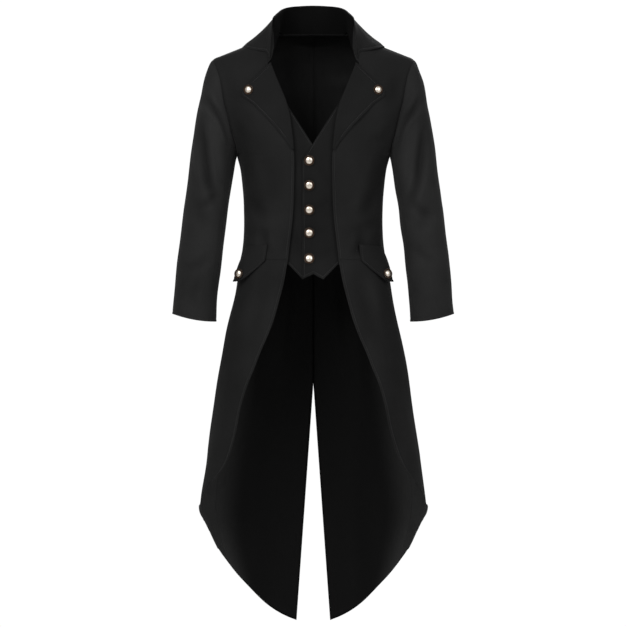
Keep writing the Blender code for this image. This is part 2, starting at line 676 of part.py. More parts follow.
def build_collar(shape):
    """Stand rising from the neck seam, rolled over the fold line into the fall."""
    up = np.array([0, 0, 1.0])
    rise = shape["rise"]
    start = shape["seam"] + rise * SEAM_GAP / 2
    centre = shape["fold"] - up * FOLD_RADIUS
    inner_side = centre - shape["outward"] * FOLD_RADIUS
    outer_side = centre + shape["outward"] * FOLD_RADIUS
    hidden = [start]
    face = [start - CLOTH * shape["seam_depth"]]
    stand_foot = face[0]
    climb = (inner_side - stand_foot) / STAND_STEPS
    over_panel = np.maximum(CLEAR_OF_PANEL - np.sum(climb * rise, axis=1, keepdims=True), 0)
    for step in range(1, STAND_STEPS):
        share = step / STAND_STEPS
        point = stand_foot + (inner_side - stand_foot) * share + rise * over_panel * (1 - share)
        face.append(point)
        hidden.append(point + shape["outward"] * CLOTH)
    for step in range(ROLL_STEPS + 1):
        turn = math.pi * step / ROLL_STEPS
        spoke = -shape["outward"] * math.cos(turn) + up * math.sin(turn)
        face.append(centre + spoke * FOLD_RADIUS)
        hidden.append(centre + spoke * (FOLD_RADIUS - CLOTH))
    hollow = column(FALL_EDGE, "hollow")[:, None]
    bend = (outer_side + shape["edge"]) / 2 - (shape["outward"] + up) * hollow
    for step in range(1, FALL_STEPS + 1):
        t = step / FALL_STEPS
        point = (1 - t) ** 2 * outer_side + 2 * t * (1 - t) * bend + t ** 2 * shape["edge"]
        slope = unit((1 - t) * (bend - outer_side) + t * (shape["edge"] - bend))
        level = np.sum(slope * shape["outward"], axis=1, keepdims=True)
        square = shape["outward"] * -slope[:, 2:3] + up * level
        face.append(point)
        hidden.append(point - CLOTH * unit(square))
    face = np.stack(face, axis=1)
    hidden = np.stack(hidden, axis=1)
    flip = np.array([-1.0, 1.0, 1.0])
    face = np.concatenate([face, face[-2::-1] * flip])
    hidden = np.concatenate([hidden, hidden[-2::-1] * flip])
    cloth_wall("collar", face, hidden, "wool")


def skirt_edges():
    """Left and right ends of the skirt's rows: along the cutaway, and down the back to the tip."""
    fine_z = np.linspace(WAIST_Z, CORNER_Z, 200)
    fine_x = smooth(column(CUTAWAY, "z")[::-1], column(CUTAWAY, "x")[::-1], fine_z)
    fine_x = np.minimum(fine_x, trunk_size(fine_z, "half_width"))
    fine_angle = np.arcsin(np.clip(fine_x / trunk_size(fine_z, "half_width"), 0, 1))
    fine_y = SIDE_SEAM_Y - trunk_size(fine_z, "front_depth") * np.cos(fine_angle)
    steps = np.sqrt(np.diff(fine_x) ** 2 + np.diff(fine_y) ** 2 + np.diff(fine_z) ** 2)
    travel = np.concatenate([[0], np.cumsum(steps)])
    share = np.linspace(0, 1, SKIRT_ROWS)
    cut_z = np.interp(share * travel[-1], travel, fine_z)
    cut_angle = np.interp(share * travel[-1], travel, fine_angle)
    back_z = WAIST_Z + (TIP_TAIL_Z - WAIST_Z) * share
    vent_x = VENT_HALF_WIDTH * np.clip((VENT_TOP_Z - back_z) / (VENT_TOP_Z - TIP_TAIL_Z), 0, 1)
    back_angle = math.pi - np.arcsin(vent_x / trunk_size(back_z, "half_width"))
    return cut_z, cut_angle, back_z, back_angle


def hem_drop(angle):
    """Share of the way from the corner's height to the tip's, by angle round the hem."""
    z = smooth(column(HEM, "angle"), column(HEM, "z"), np.degrees(angle))
    drop = (z - CORNER_Z) / (TIP_TAIL_Z - CORNER_Z)
    return np.clip(drop, 0, 1)


def skirt_grid():
    """Points of the left skirt, rows from the waist to the hem and columns from the front edge back."""
    cut_z, cut_angle, back_z, back_angle = skirt_edges()
    width = np.linspace(0, 1, SKIRT_COLUMNS)[None, :]
    angle = cut_angle[:, None] + (back_angle - cut_angle)[:, None] * width
    hem_angle = math.pi / 2 + (back_angle[-1] - math.pi / 2) * width
    z = cut_z[:, None] + (back_z - cut_z)[:, None] * hem_drop(hem_angle)
    reach = np.sin(angle)
    depth_share = np.sign(np.cos(angle)) * section_share(reach, z)
    ahead = depth_share > 0
    depth = np.where(ahead, trunk_size(z, "front_depth"), trunk_size(z, "back_depth"))
    grid = np.stack([trunk_size(z, "half_width") * reach, SIDE_SEAM_Y - depth * depth_share, z], axis=2)
    away = grid - np.array([0, SIDE_SEAM_Y, 0])
    away[..., 2] = 0
    out = unit(away)
    fall = np.clip((WAIST_Z - z) / (WAIST_Z - CORNER_Z), 0, 1)
    flutes = np.zeros_like(z)
    for flute in FLUTES:
        flutes += flute.depth * np.exp(-((np.degrees(angle) - flute.angle) / flute.width) ** 2)
    from_vent = np.clip((180 - np.degrees(angle)) / 10, 0, 1)
    from_cutaway = np.clip(np.degrees(angle - cut_angle[:, None]) / 20, 0, 1)
    return grid + out * (flutes * fall * from_vent * from_cutaway)[..., None], away


def build_skirt():
    grid, away = skirt_grid()
    depth = grid_normals(grid, away)
    flatten(depth[0], 2)
    flatten(depth[:, -1], 0)
    outer = grid.copy()
    inner = grid - CLOTH * depth
    pull_back(outer, inner, (0, slice(None)), np.array([0, 0, -1.0]))
    pull_back(outer, inner, (slice(None), -1), np.array([1.0, 0, 0]))
    both_sides("skirt", outer, inner, "wool")
    shown = (slice(0, -1), slice(LINING_COLUMN, -1))
    lining = grid[shown] - (CLOTH + LINING_GAP) * depth[shown]
    lining[0] -= np.array([0, 0, 3.0])
    both_sides("lining_tail", lining, lining - LINING * depth[shown], "lining")


def build_lapels():
    """Cloth rolled round the front edge and laid back on the front, down to a thin point."""
    outer = []
    inner = []
    roll = np.array(ROLL_SECTION)
    tangent = unit(np.gradient(roll, axis=0))
    inward = np.stack([-tangent[:, 1], tangent[:, 0]], axis=1) * -1
    for row in LAPEL:
        start = np.array([row.roll_x, row.roll_z])
        run = np.array([row.edge_x, row.edge_z]) - start
        width = np.linalg.norm(run)
        size = min(1.0, width / 14)
        face = [(d * size, h) for d, h in roll]
        back = [(d * size + CLOTH * n[0] * size, h + CLOTH * n[1]) for (d, h), n in zip(roll, inward)]
        high = roll[-1][1]
        for share in FACE_SHARES:
            ease = (share - FACE_SHARES[0] + 0.12) / (1 - FACE_SHARES[0] + 0.12)
            height = high + (EDGE_HEIGHT - high) * ease
            distance = max(width * share, roll[-1][0] * size + 0.5 * (FACE_SHARES.index(share) + 1))
            face.append((distance, height))
            back.append((distance, height - CLOTH))
        for section, target in ((face, outer), (back, inner)):
            section = np.array(section)
            spots = start + (run / width) * section[:, :1]
            points, _ = place("front", spots[:, 0], spots[:, 1], section[:, 1])
            target.append(points)
    both_sides("lapel", np.array(outer), np.array(inner), "wool")


def vest_height(x, lapped_under):
    """How far below the coat's surface a waistcoat front lies."""
    sink = np.interp(np.abs(x), (50, 62, 95), (-VEST_SINK, -VEST_SINK + 0.6, -CLOTH - 1.6))
    under = np.interp(x, (-46, -29), (0, 1)) * (VEST_CLOTH + 0.6) if lapped_under else 0
    return sink - under


def build_vest():
    rows = np.linspace(0, 1, VEST_ROWS)[:, None]
    for name, hem, x, under in (
        ("waistcoat_left", VEST_HEM_LEFT, VEST_X_LEFT, False),
        ("waistcoat_right", VEST_HEM_RIGHT, VEST_X_RIGHT, True),
    ):
        x = np.array(x, float)
        hem_x = column(hem, "x")
        hem_z = column(hem, "z")
        order = np.argsort(hem_x)
        bottom = np.interp(x, hem_x[order], hem_z[order])
        if under:
            top = VEST_V_Z + VEST_V_SLOPE * (VEST_V_X - x)
            top = np.where(x > VEST_V_X, VEST_V_Z - VEST_V_SLOPE * (x - VEST_V_X), top)
        else:
            top = VEST_V_Z + VEST_V_SLOPE * (x - VEST_V_X)
        z = bottom[None, :] + (top - bottom)[None, :] * rows
        spread = np.broadcast_to(x[None, :], z.shape)
        height = vest_height(spread, under)
        outer, _ = place("front", spread, z, height)
        inner, _ = place("front", spread, z, height - VEST_CLOTH)
        cloth_wall(name, outer, inner, "waistcoat_wool")


def flap_grid(height_gap):
    """Points of the flap's face and back, which stands off the hip towards its point."""
    angle = np.radians(column(FLAP, "angle"))
    rows = np.linspace(0, 1, FLAP_ROWS)[:, None]
    z = column(FLAP, "top_z") + (column(FLAP, "bottom_z") - column(FLAP, "top_z")) * rows
    x = trunk_size(z, "half_width") * np.sin(angle)[None, :]
    across = (angle - angle[0]) / (angle[-1] - angle[0])
    stand = FLAP_STAND * across[None, :] ** 2 * rows
    return place("front", x, z, stand + height_gap)[0]


def build_flaps():
    both_sides("pocket_flap", flap_grid(LAY_GAP + CLOTH), flap_grid(LAY_GAP), "wool")


def button(name, centre, axis, radius, height):
    """Domed button turned about its own axis, with a raised rim round a low dome."""
    rim = radius * 0.16
    profile = (
        (0.0, 0.0), (radius * 0.9, 0.0), (radius, height * 0.4),
        (radius - rim, height * 0.55), (radius * 0.55, height * 0.9), (0.0, height),
    )
    shape = bmesh.new()
    verts = [shape.verts.new((r * MM, 0, h * MM)) for r, h in profile]
    edges = [shape.edges.new(pair) for pair in zip(verts, verts[1:])]
    bmesh.ops.spin(
        shape, geom=verts + edges, cent=(0, 0, 0), axis=(0, 0, 1),
        angle=2 * math.pi, steps=BUTTON_SIDES, use_merge=True,
    )
    bmesh.ops.remove_doubles(shape, verts=shape.verts, dist=0.00001)
    bmesh.ops.triangulate(shape, faces=shape.faces)
    bmesh.ops.recalc_face_normals(shape, faces=shape.faces)
    if shape.calc_volume(signed=True) < 0:
        bmesh.ops.reverse_faces(shape, faces=shape.faces)
    mesh = bpy.data.meshes.new(name)
    shape.to_mesh(mesh)
    shape.free()
    piece = add_object(name, mesh, "pale_brass")
    turn = Vector([float(value) for value in axis]).to_track_quat("Z", "Y")
    piece.rotation_mode = "QUATERNION"
    piece.rotation_quaternion = turn
    piece.location = [value * MM for value in centre]
    return piece


def build_buttons():
    for number, z in enumerate(VEST_BUTTONS_Z, start=1):
        height = float(vest_height(np.array([VEST_BUTTON_X]), False)[0])
        point, normal = place("front", np.array([VEST_BUTTON_X]), z, height + 0.5)
        button(f"waistcoat_button_{number}", point[0], normal[0], VEST_BUTTON_RADIUS, VEST_BUTTON_HEIGHT)
    for label, sign in (("left", 1.0), ("right", -1.0)):
        flip = np.array([sign, 1.0, 1.0])
        x, z = LAPEL_BUTTON
        point, normal = place("front", np.array([x]), z, EDGE_HEIGHT + 1.4)
        name = f"lapel_button_{label}"
        button(name, point[0] * flip, normal[0] * flip, COAT_BUTTON_RADIUS, COAT_BUTTON_HEIGHT)
        grid = flap_grid(LAY_GAP + CLOTH)
        gap = np.hypot(grid[..., 0] - FLAP_BUTTON[0], grid[..., 2] - FLAP_BUTTON[1])
        row, col = np.unravel_index(np.argmin(gap), gap.shape)
        away = grid - np.array([0, SIDE_SEAM_Y, 0])
        normal = grid_normals(grid, away)[row, col]
        point = grid[row, col] + normal * 0.8
        name = f"flap_button_{label}"
        button(name, point * flip, normal * flip, COAT_BUTTON_RADIUS, COAT_BUTTON_HEIGHT)


def main():
    for item in list(bpy.data.objects):
        bpy.data.objects.remove(item, do_unlink=True)
    collar = build_body_and_sleeves()
    build_collar(collar)
    build_skirt()
    build_lapels()
    build_vest()
    build_flaps()
    build_buttons()


main()
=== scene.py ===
# Looks of a black tailcoat with a false waistcoat: cloth shells, stitching, buttons and a pale studio.
# The tables are in millimetres, and finished meshes are in metres.
# +Z is up, the coat faces -Y, and +X is the wearer's left.

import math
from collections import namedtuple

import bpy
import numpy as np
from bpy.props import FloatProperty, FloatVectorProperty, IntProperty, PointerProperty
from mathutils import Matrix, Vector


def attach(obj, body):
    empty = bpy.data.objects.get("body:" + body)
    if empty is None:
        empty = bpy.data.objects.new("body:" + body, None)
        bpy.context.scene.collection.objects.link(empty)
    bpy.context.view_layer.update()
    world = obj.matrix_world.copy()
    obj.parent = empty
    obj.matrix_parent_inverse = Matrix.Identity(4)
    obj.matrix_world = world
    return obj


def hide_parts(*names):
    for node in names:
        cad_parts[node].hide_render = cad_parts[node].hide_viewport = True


bl_info = {
    "name": "Tailcoat",
    "version": (1, 0, 0),
    "blender": (4, 5, 0),
    "location": "3D View > Sidebar > Tailcoat",
    "description": "Sews the cloth, linings, buttons and stitching of a tailcoat onto its packed frame",
    "category": "Object",
}

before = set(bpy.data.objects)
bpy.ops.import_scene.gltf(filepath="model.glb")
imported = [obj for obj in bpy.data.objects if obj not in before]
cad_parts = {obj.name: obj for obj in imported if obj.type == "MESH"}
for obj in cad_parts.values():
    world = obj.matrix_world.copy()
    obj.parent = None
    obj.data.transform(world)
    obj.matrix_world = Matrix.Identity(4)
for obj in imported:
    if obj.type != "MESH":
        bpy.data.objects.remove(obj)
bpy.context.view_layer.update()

MM = 0.001
BODY = "root"
SIDES = ("left", "right")

# Cloth and gaps, as in the frame
CLOTH = 2.0
VEST_CLOTH = 1.6
LINING = 1.0
SEAM_GAP = 0.3
LAY_GAP = 0.8
LINING_GAP = 0.7
FALL_GAP = 0.9

# Shoulders, armholes and waist
SHOULDER_Y = 3.0
SHOULDER_SLOPE = 0.40
TIP_X = 220.7
TIP_Z = -20.0
ARMPIT_Z = -233.0
WAIST_Z = -462.0
SIDE_SEAM_Y = 8.0
CHEST_POWER = 2.3
ARMHOLE_FRONT_REACH = 60.0
ARMHOLE_BACK_REACH = 62.0
ARMHOLE_ANGLES = (180, 166, 152, 138, 124, 110, 96, 82, 68, 54, 41, 28, 14, 0)
NECKLINE_START = 9
SHOULDER_LIFT_POWER = 0.8
ARMHOLE_BOW_POWER = 0.8
TOP_WRAP = 0.8
# Below this height the section is a plain ellipse
ELLIPSE_Z = -760.0

# Tails
VENT_TOP_Z = -735.0
VENT_HALF_WIDTH = 37.0
VENT_FADE = 20.0
CORNER_Z = -1001.0
TIP_TAIL_Z = -1256.5

# Lapels and flaps. The front edge is set back under the roll, and comes out again at both its ends
ROLL_SETBACK = 7.5
ROLL_TOP_Z = -20.0
ROLL_TOP_FADE = 8.0
ROLL_FOOT_Z = -225.0
ROLL_FOOT_FADE = 15.0
FLAP_STAND = 14.0

Trunk = namedtuple("Trunk", "z half_width front_depth back_depth")
TRUNK = (
    Trunk(-1254, 252, 138, 158),
    Trunk(-1113, 251, 137, 156),
    Trunk(-1001, 249, 136, 153),
    Trunk(-902, 235, 133, 147),
    Trunk(-770, 216, 128, 136),
    Trunk(-638, 194, 121, 122),
    Trunk(-535, 172, 114, 108),
    Trunk(-462, 160.5, 108, 97),
    Trunk(-440, 156, 105, 92),
    Trunk(-400, 152.5, 104, 86),
    Trunk(-348, 152.5, 109, 86),
    Trunk(-300, 156, 118, 91),
    Trunk(-268, 159.5, 122, 95),
    Trunk(-233, 168, 124, 97),
)
BODICE_ROWS_Z = (-462, -440, -410, -376, -340, -302, -264)

Armhole = namedtuple("Armhole", "z x")
ARMHOLE = (
    Armhole(-233, 168), Armhole(-205, 173), Armhole(-184, 180), Armhole(-151, 187.7),
    Armhole(-111, 198), Armhole(-87.6, 202), Armhole(-54.6, 209), Armhole(-28.6, 218), Armhole(-20, 220.7),
)

# How far forward and back the centre line lies, by height of the armhole edge
Centre = namedtuple("Centre", "z front_y back_y")
CENTRE = (
    Centre(-233, -116, 105), Centre(-186, -115, 106), Centre(-137, -110, 103), Centre(-87, -98, 96),
    Centre(-64, -88, 86), Centre(-46, -70, 74), Centre(-32.5, -48, 54), Centre(-23, -22, 30),
    Centre(-20, 3, 3),
)

# Visible front edge: down the neckline, the roll of the lapel and the opening
FrontEdge = namedtuple("FrontEdge", "z x")
FRONT_EDGE = (
    FrontEdge(-462, 55.7), FrontEdge(-440, 53.5), FrontEdge(-363, 44.7), FrontEdge(-308, 42.5),
    FrontEdge(-220, 42.5), FrontEdge(-170, 47.5), FrontEdge(-121, 55.7), FrontEdge(-74, 74.4),
    FrontEdge(-26, 93), FrontEdge(-2, 88), FrontEdge(18, 82), FrontEdge(33, 77.5), FrontEdge(38, 76),
)
BACK_NECK_X = (0.0, 38.0, 60.0, 72.0, 76.0)
# The edge's place on a sloping row is found by rounds from a first guess
FIRST_EDGE_GUESS = 60.0
EDGE_ROUNDS = 40
# How far to each side the slope of the coat's surface is felt
PROBE = 4.0

# Cutaway edge of the skirt, from the waist to the side corner
Cutaway = namedtuple("Cutaway", "z x")
CUTAWAY = (
    Cutaway(-462, 55.7), Cutaway(-510, 64.5), Cutaway(-559, 76.8), Cutaway(-592, 86), Cutaway(-629, 99.9),
    Cutaway(-661, 114), Cutaway(-702, 130), Cutaway(-735, 143.9), Cutaway(-772, 155.5),
    Cutaway(-847, 171.8), Cutaway(-878, 181), Cutaway(-920, 199.5), Cutaway(-953, 226),
    Cutaway(-988, 245.7), Cutaway(-1001, 249),
)

# Hem of the tail by angle from the centre front, from the side corner to the tip at the vent
Hem = namedtuple("Hem", "angle z")
HEM = (
    Hem(90, -1001), Hem(99, -1017), Hem(107.6, -1035), Hem(114.8, -1060), Hem(129, -1113),
    Hem(141.4, -1167.5), Hem(156.2, -1221), Hem(166.6, -1247.5), Hem(171.7, -1256.5),
)

# Soft flutes in the skirt: angle from the centre front, width, and depth at the hem. They fade
# towards the cutaway and the vent
Flute = namedtuple("Flute", "angle width depth")
FLUTES = (
    Flute(58, 9, -4), Flute(112, 8, -5), Flute(129, 9, 6), Flute(146, 8, -5), Flute(161, 8, 6),
)
FLUTE_SHARE = 0.55
VENT_HOLD_ANGLE = 10.0
CUTAWAY_HOLD_ANGLE = 20.0

# Sleeve rings: share of the length, outer and inner outline, and reach to front and back
Sleeve = namedtuple("Sleeve", "share outer_x outer_z inner_x inner_z centre_y front back")
SLEEVE = (
    Sleeve(0.00, 220.7, -20, 168.0, -233, 5.5, 60, 62),
    Sleeve(0.06, 231.0, -38, 169.6, -239, 5, 66, 67),
    Sleeve(0.13, 240.5, -65, 171.5, -250, 4, 71, 70),
    Sleeve(0.21, 247.5, -100, 174.5, -268, 3, 73, 71),
    Sleeve(0.30, 256.5, -145, 178.6, -292, 1, 73, 70),
    Sleeve(0.40, 266.0, -205, 184.0, -328, -2, 72, 68),
    Sleeve(0.50, 274.0, -268, 190.0, -372, -4, 70, 66),
    Sleeve(0.62, 284.0, -345, 196.5, -425, -7, 67, 63),
    Sleeve(0.75, 294.5, -428, 203.2, -483, -11, 65, 60),
    Sleeve(0.88, 303.7, -508, 210.5, -543, -15, 62, 58),
    Sleeve(1.00, 309.5, -581, 213.0, -598, -19, 60, 57),
)
FIRST_SLEEVE_STEP = 0.03
SLEEVE_BOW_POWER = 0.85
FRONT_SLEEVE_SEAM = 10
BACK_SLEEVE_SEAM = 17
CUFF_SAG = 4.5
# How far from the armhole the sleeve is held calm, and joined to it; and its gathers over the cap
ARMHOLE_HOLD = 24.0
ARMHOLE_JOIN = 5.0
GATHER_PLACE = 13.0
GATHER_REACH = 8.0
GATHER_STEP = 2.2
GATHER_HEIGHT = 0.5
SLEEVE_SEAM_SHARE = 0.3
CUFF_EDGE_SHARE = 0.4

# Collar stations from the front end to the centre back: fold line, then fall edge and its hollow
Fold = namedtuple("Fold", "x y z")
FOLD = (
    Fold(88, -58, 69), Fold(87, -46, 71), Fold(85, -33, 74), Fold(82, -18, 77), Fold(78, -2, 81),
    Fold(74, 13, 84.5), Fold(70, 28, 88.2), Fold(64, 43, 91.4), Fold(56, 56, 94.0), Fold(45, 68, 95.8),
    Fold(32, 78, 96.9), Fold(16, 84.5, 97.9), Fold(0, 86.5, 98.3),
)
FallEdge = namedtuple("FallEdge", "face x z hollow")
FALL_EDGE = (
    FallEdge("front", 95, -22, -2), FallEdge("front", 105, -6, 0), FallEdge("front", 122, -3, 3),
    FallEdge("front", 145, 2, 5), FallEdge("front", 158, 4.5, 6), FallEdge("back", 155, 1, 6),
    FallEdge("back", 147, -6, 6), FallEdge("back", 133, -11, 5), FallEdge("back", 113, -15, 4),
    FallEdge("back", 88, -18, 3), FallEdge("back", 60, -19, 2), FallEdge("back", 30, -20, 2),
    FallEdge("back", 0, -20, 2),
)
FOLD_RADIUS = 4.5
CLEAR_OF_PANEL = 5.0
STAND_LEAN_RATE = 4
STAND_STEPS = 16
ROLL_STEPS = 12
FALL_STEPS = 36
# The fall starts at this share across and has its full waves after the next. Its edge is pressed
# onto the shoulder, most of all over the ridge
FALL_START = 0.45
FALL_FADE = 0.4
RIDGE_REACH = 18.0
PRESS_REACH = 9.0
PRESSED = 1.3
PRESSED_RIDGE = 0.9
PRESSED_HIDDEN = 0.7
CALM_RIDGE = 0.85

# Lapel: roll line from the gorge down, and its outer edge from the point down
LapelRow = namedtuple("LapelRow", "roll_x roll_z edge_x edge_z")
LAPEL = (
    LapelRow(93.0, -29, 157, -90), LapelRow(89.5, -38, 157.5, -99), LapelRow(83.0, -55, 146, -110),
    LapelRow(75.5, -73, 133, -119.5), LapelRow(68.0, -91, 120, -133), LapelRow(61.0, -108, 108, -145),
    LapelRow(55.7, -124, 97, -157), LapelRow(51.5, -142, 86, -168), LapelRow(48.5, -160, 75, -182),
    LapelRow(46.0, -180, 65, -195), LapelRow(43.8, -200, 55, -208), LapelRow(42.5, -218, 48, -219.5),
)
# Section across the lapel: distance from the roll, or share of the width, and height of the face
ROLL_SECTION = ((3.4, -2.0), (1.0, -0.8), (0.0, 1.6), (1.3, 4.0), (4.2, 5.0))
FACE_SHARES = (0.28, 0.46, 0.64, 0.82, 1.0)
EDGE_HEIGHT = 2.8
FIRST_EASE = 0.12
LEAST_STEP = 0.5
# Widths below which the lapel's section shrinks, its waves and edge fade, and its stitches end
FULL_WIDTH = 14.0
FADE_WIDTH = 30.0
STITCHED_WIDTH = 22.0

# Waistcoat: hem of each front, from its lap to under the coat
HemPoint = namedtuple("HemPoint", "x z")
VEST_HEM_LEFT = (
    HemPoint(-25, -504.5), HemPoint(-12, -498.5), HemPoint(0, -492.8), HemPoint(11, -499),
    HemPoint(22, -505), HemPoint(54, -473), HemPoint(100, -445),
)
VEST_HEM_RIGHT = (
    HemPoint(-100, -445), HemPoint(-54.6, -473), HemPoint(-24, -504.5), HemPoint(-8, -490),
    HemPoint(4, -486),
)
VEST_V_X = -2.0
VEST_V_Z = -208.0
VEST_V_SLOPE = 1.55
# How deep the fronts lie, and how they rise to where they are sewn in beneath the coat
VEST_SINK = 8.0
VEST_RISE = 0.6
VEST_GAP = 1.6
VEST_RISE_X = (50, 62, 95)
# Where the right front sinks beneath the left one, and their gap
VEST_LAP_X = (-46, -29)
VEST_LAP_GAP = 0.6
# Shares of the waves and creases, and of their depth as painted shade in the wool's colour
VEST_CALM = 0.55
VEST_PAINTED_SHADE = 2.0
# Half the width of the fronts where they are sewn in, and how far each reaches over the lap
VEST_REACH = 100.0
VEST_LAP_LEFT = -25.0
VEST_LAP_RIGHT = 4.0
# How far the cloth is pulled in round a button, and how wide
BUTTON_PULL = 0.9
BUTTON_PULL_REACH = 15.0
VEST_BUTTON_X = -9.0
VEST_BUTTONS_Z = (-244, -299, -353, -403, -458)

# Flap: angle round the hip from the centre front, with its upper and lower edge
FlapColumn = namedtuple("FlapColumn", "angle top_z bottom_z")
FLAP = (
    FlapColumn(40.5, -428, -464), FlapColumn(47, -429, -478), FlapColumn(54, -430, -491),
    FlapColumn(61, -431, -503), FlapColumn(67, -432, -509.5), FlapColumn(73.5, -433, -512),
)

# Creases: side of the wearer, where they are seen from, points there, half width and depth
Crease = namedtuple("Crease", "side view points half_width depth")
SLEEVE_CREASES = (
    Crease("both", "front", ((236, -104), (222, -130), (206, -146), (190, -168), (176, -210)), 8, 7.5),
    Crease("both", "front", ((244, -150), (241, -205), (236, -250), (228, -296), (206, -342)), 9, 7.0),
    Crease("both", "front", ((222, -165), (208, -205), (201, -255), (200, -300)), 13, -4),
    Crease("both", "front", ((262, -330), (244, -372), (224, -398)), 13, 3),
    Crease("left", "front", ((214, -330), (236, -352), (262, -362)), 9, 3.2),
    Crease("right", "front", ((210, -318), (232, -336), (252, -341)), 8, 2.8),
    Crease("left", "front", ((222, -432), (247, -455), (270, -463)), 9, 2.2),
    Crease("right", "front", ((228, -452), (250, -470), (280, -478)), 10, 2.6),
    Crease("both", "front", ((258, -118), (262, -160), (262, -215)), 10, 2.5),
    Crease("right", "front", ((246, -505), (262, -530), (268, -560)), 9, 1.8),
    Crease("both", "back", ((240, -118), (220, -142), (200, -165), (180, -210)), 12, 6.5),
    Crease("both", "back", ((246, -190), (238, -240), (222, -290), (200, -330)), 12, 5.5),
    Crease("both", "back", ((276, -320), (250, -352), (222, -366)), 13, 4.5),
    Crease("left", "back", ((212, -388), (238, -402), (268, -396)), 10, 3),
    Crease("right", "back", ((208, -372), (236, -388), (260, -390)), 9, 3.4),
    Crease("both", "back", ((226, -440), (252, -462), (276, -470)), 11, 2.4),
)
BODICE_CREASES = (
    Crease("both", "front", ((166, -222), (150, -262), (132, -318), (120, -368)), 15, 3.2),
    Crease("both", "front", ((176, -168), (160, -190), (138, -204)), 12, 2.2),
    Crease("left", "front", ((150, -300), (124, -340), (96, -372)), 13, 2.0),
    Crease("right", "front", ((152, -318), (128, -348), (104, -366)), 12, 2.4),
    Crease("both", "front", ((108, -398), (104, -430), (92, -460)), 9, 3.4),
    Crease("left", "front", ((146, -372), (112, -392), (74, -398)), 11, 2.2),
    Crease("right", "front", ((148, -386), (118, -404), (80, -402)), 12, 2.0),
    Crease("both", "front", ((196, -60), (176, -96), (168, -130)), 14, 2.0),
    Crease("both", "back", ((150, -240), (122, -296), (94, -352)), 15, 3.4),
    Crease("left", "back", ((140, -392), (92, -408), (38, -404)), 11, 2.6),
    Crease("right", "back", ((144, -380), (100, -400), (52, -404)), 12, 2.4),
    Crease("both", "back", ((172, -120), (150, -168), (138, -214)), 14, 2.4),
    Crease("left", "back", ((120, -60), (70, -76), (26, -74)), 13, 1.6),
)
SKIRT_CREASES = (
    Crease("left", "front", ((92, -480), (112, -560), (128, -640)), 15, 2.2),
    Crease("right", "front", ((98, -484), (120, -570), (140, -668)), 14, 2.6),
    Crease("both", "front", ((148, -540), (168, -650), (184, -780), (200, -900)), 17, 2.6),
    Crease("left", "front", ((122, -500), (150, -600), (168, -700)), 12, -1.6),
    Crease("both", "outside", ((-34, -520), (-30, -680), (-20, -860)), 18, 3.0),
    Crease("left", "outside", ((22, -560), (30, -740), (38, -960)), 19, 3.4),
    Crease("right", "outside", ((30, -540), (36, -700), (50, -930)), 18, 3.0),
    Crease("both", "back", ((112, -480), (124, -620), (140, -800)), 15, 2.6),
    Crease("left", "back", ((62, -476), (70, -560), (74, -680)), 13, 2.2),
    Crease("right", "back", ((54, -476), (64, -580), (72, -716)), 13, 2.4),
)
VEST_CREASES = (
    Crease("left", "front", ((8, -256), (24, -276), (40, -306)), 9, 1.6),
    Crease("left", "front", ((36, -330), (16, -344), (-2, -350)), 9, 1.2),
    Crease("left", "front", ((40, -392), (18, -398), (0, -401)), 8, 1.1),
    Crease("left", "front", ((44, -440), (22, -452), (2, -457)), 9, 1.2),
    Crease("right", "front", ((-42, -300), (-32, -330), (-30, -360)), 8, 1.0),
    Crease("right", "front", ((-46, -410), (-34, -430), (-30, -452)), 8, 1.0),
)

# Lines of points in each panel: so many to a step of its table, or in all, down and across
BODICE_PER_STEP, BODICE_ACROSS = 5, 66
SLEEVE_DOWN, SLEEVE_PER_STEP = 130, 5
SKIRT_DOWN, SKIRT_ACROSS = 150, 104
COLLAR_PER_STEP = 6
LAPEL_PER_ROW, LAPEL_PER_COLUMN = 8, 5
VEST_DOWN, VEST_ACROSS = 110, 72
FLAP_DOWN, FLAP_ACROSS = 40, 56

# Soft waves of each part: their length, their share of the full height, and what is added to the seed
Wave = namedtuple("Wave", "length share seed")
WAVES = {
    "bodice": Wave(95, 1.0, 0), "sleeve": Wave(80, 0.65, 10), "skirt": Wave(120, 1.0, 20),
    "collar": Wave(70, 0.8, 30), "lapel": Wave(60, 0.35, 30), "waistcoat": Wave(70, 1.0, 40),
    "flap": Wave(60, 1.0, 50),
}
RIPPLE_WAVES = 7

# A crease has a low lip on both sides. One drawn for both sides is shifted on the right
LIP_HEIGHT = 0.3
LIP_PLACE = 1.9
LIP_WIDTH = 0.7
RIGHT_SHIFT = (3.0, 7.0)
CREASE_END_POWER = 0.7
# How soon a crease fades where the cloth turns away from its view
FACING_GAIN = 1.8
FACING_START = 0.1
OUTSIDE_START = -0.3

# Section of a button, as shares of its radius and of its thickness: back, rounded rim, groove, dome
BUTTON_SIDES = 64
BUTTON_BACK = ((0.0, 0.0), (0.5, 0.0), (0.9, 0.0))
RIM_ROUND = 0.045
RIM_HEIGHT = 0.24
BUTTON_GROOVE = ((0.90, 0.475), (0.82, 0.42), (0.75, 0.385))
GROOVE_TARNISH = (0.9, 1.1, 1.1)
DOME_RADIUS = 0.71
DOME_FOOT = 0.40
# The flaps' buttons face the front more than the flaps do
BUTTON_TILT = 0.45

# Places close to an edge, as shares of a step, that get a line of points of their own
NEAR_EDGE = (0.035, 0.08, 0.15, 0.25, 0.4)

# Seams dip with a swell beside them, the waist seam less than the others, and hold the cloth calm
SEAM_WIDTH = 3.2
SEAM_SWELL = 0.35
SEAM_SWELL_PLACE = 2.6
SEAM_SWELL_WIDTH = 1.6
SEAM_HOLD = 16.0
SEAM_ROUND = 0.25
WAIST_SEAM = 0.35
# Distance that stands for a seam that isn't there
FAR = 1000.0
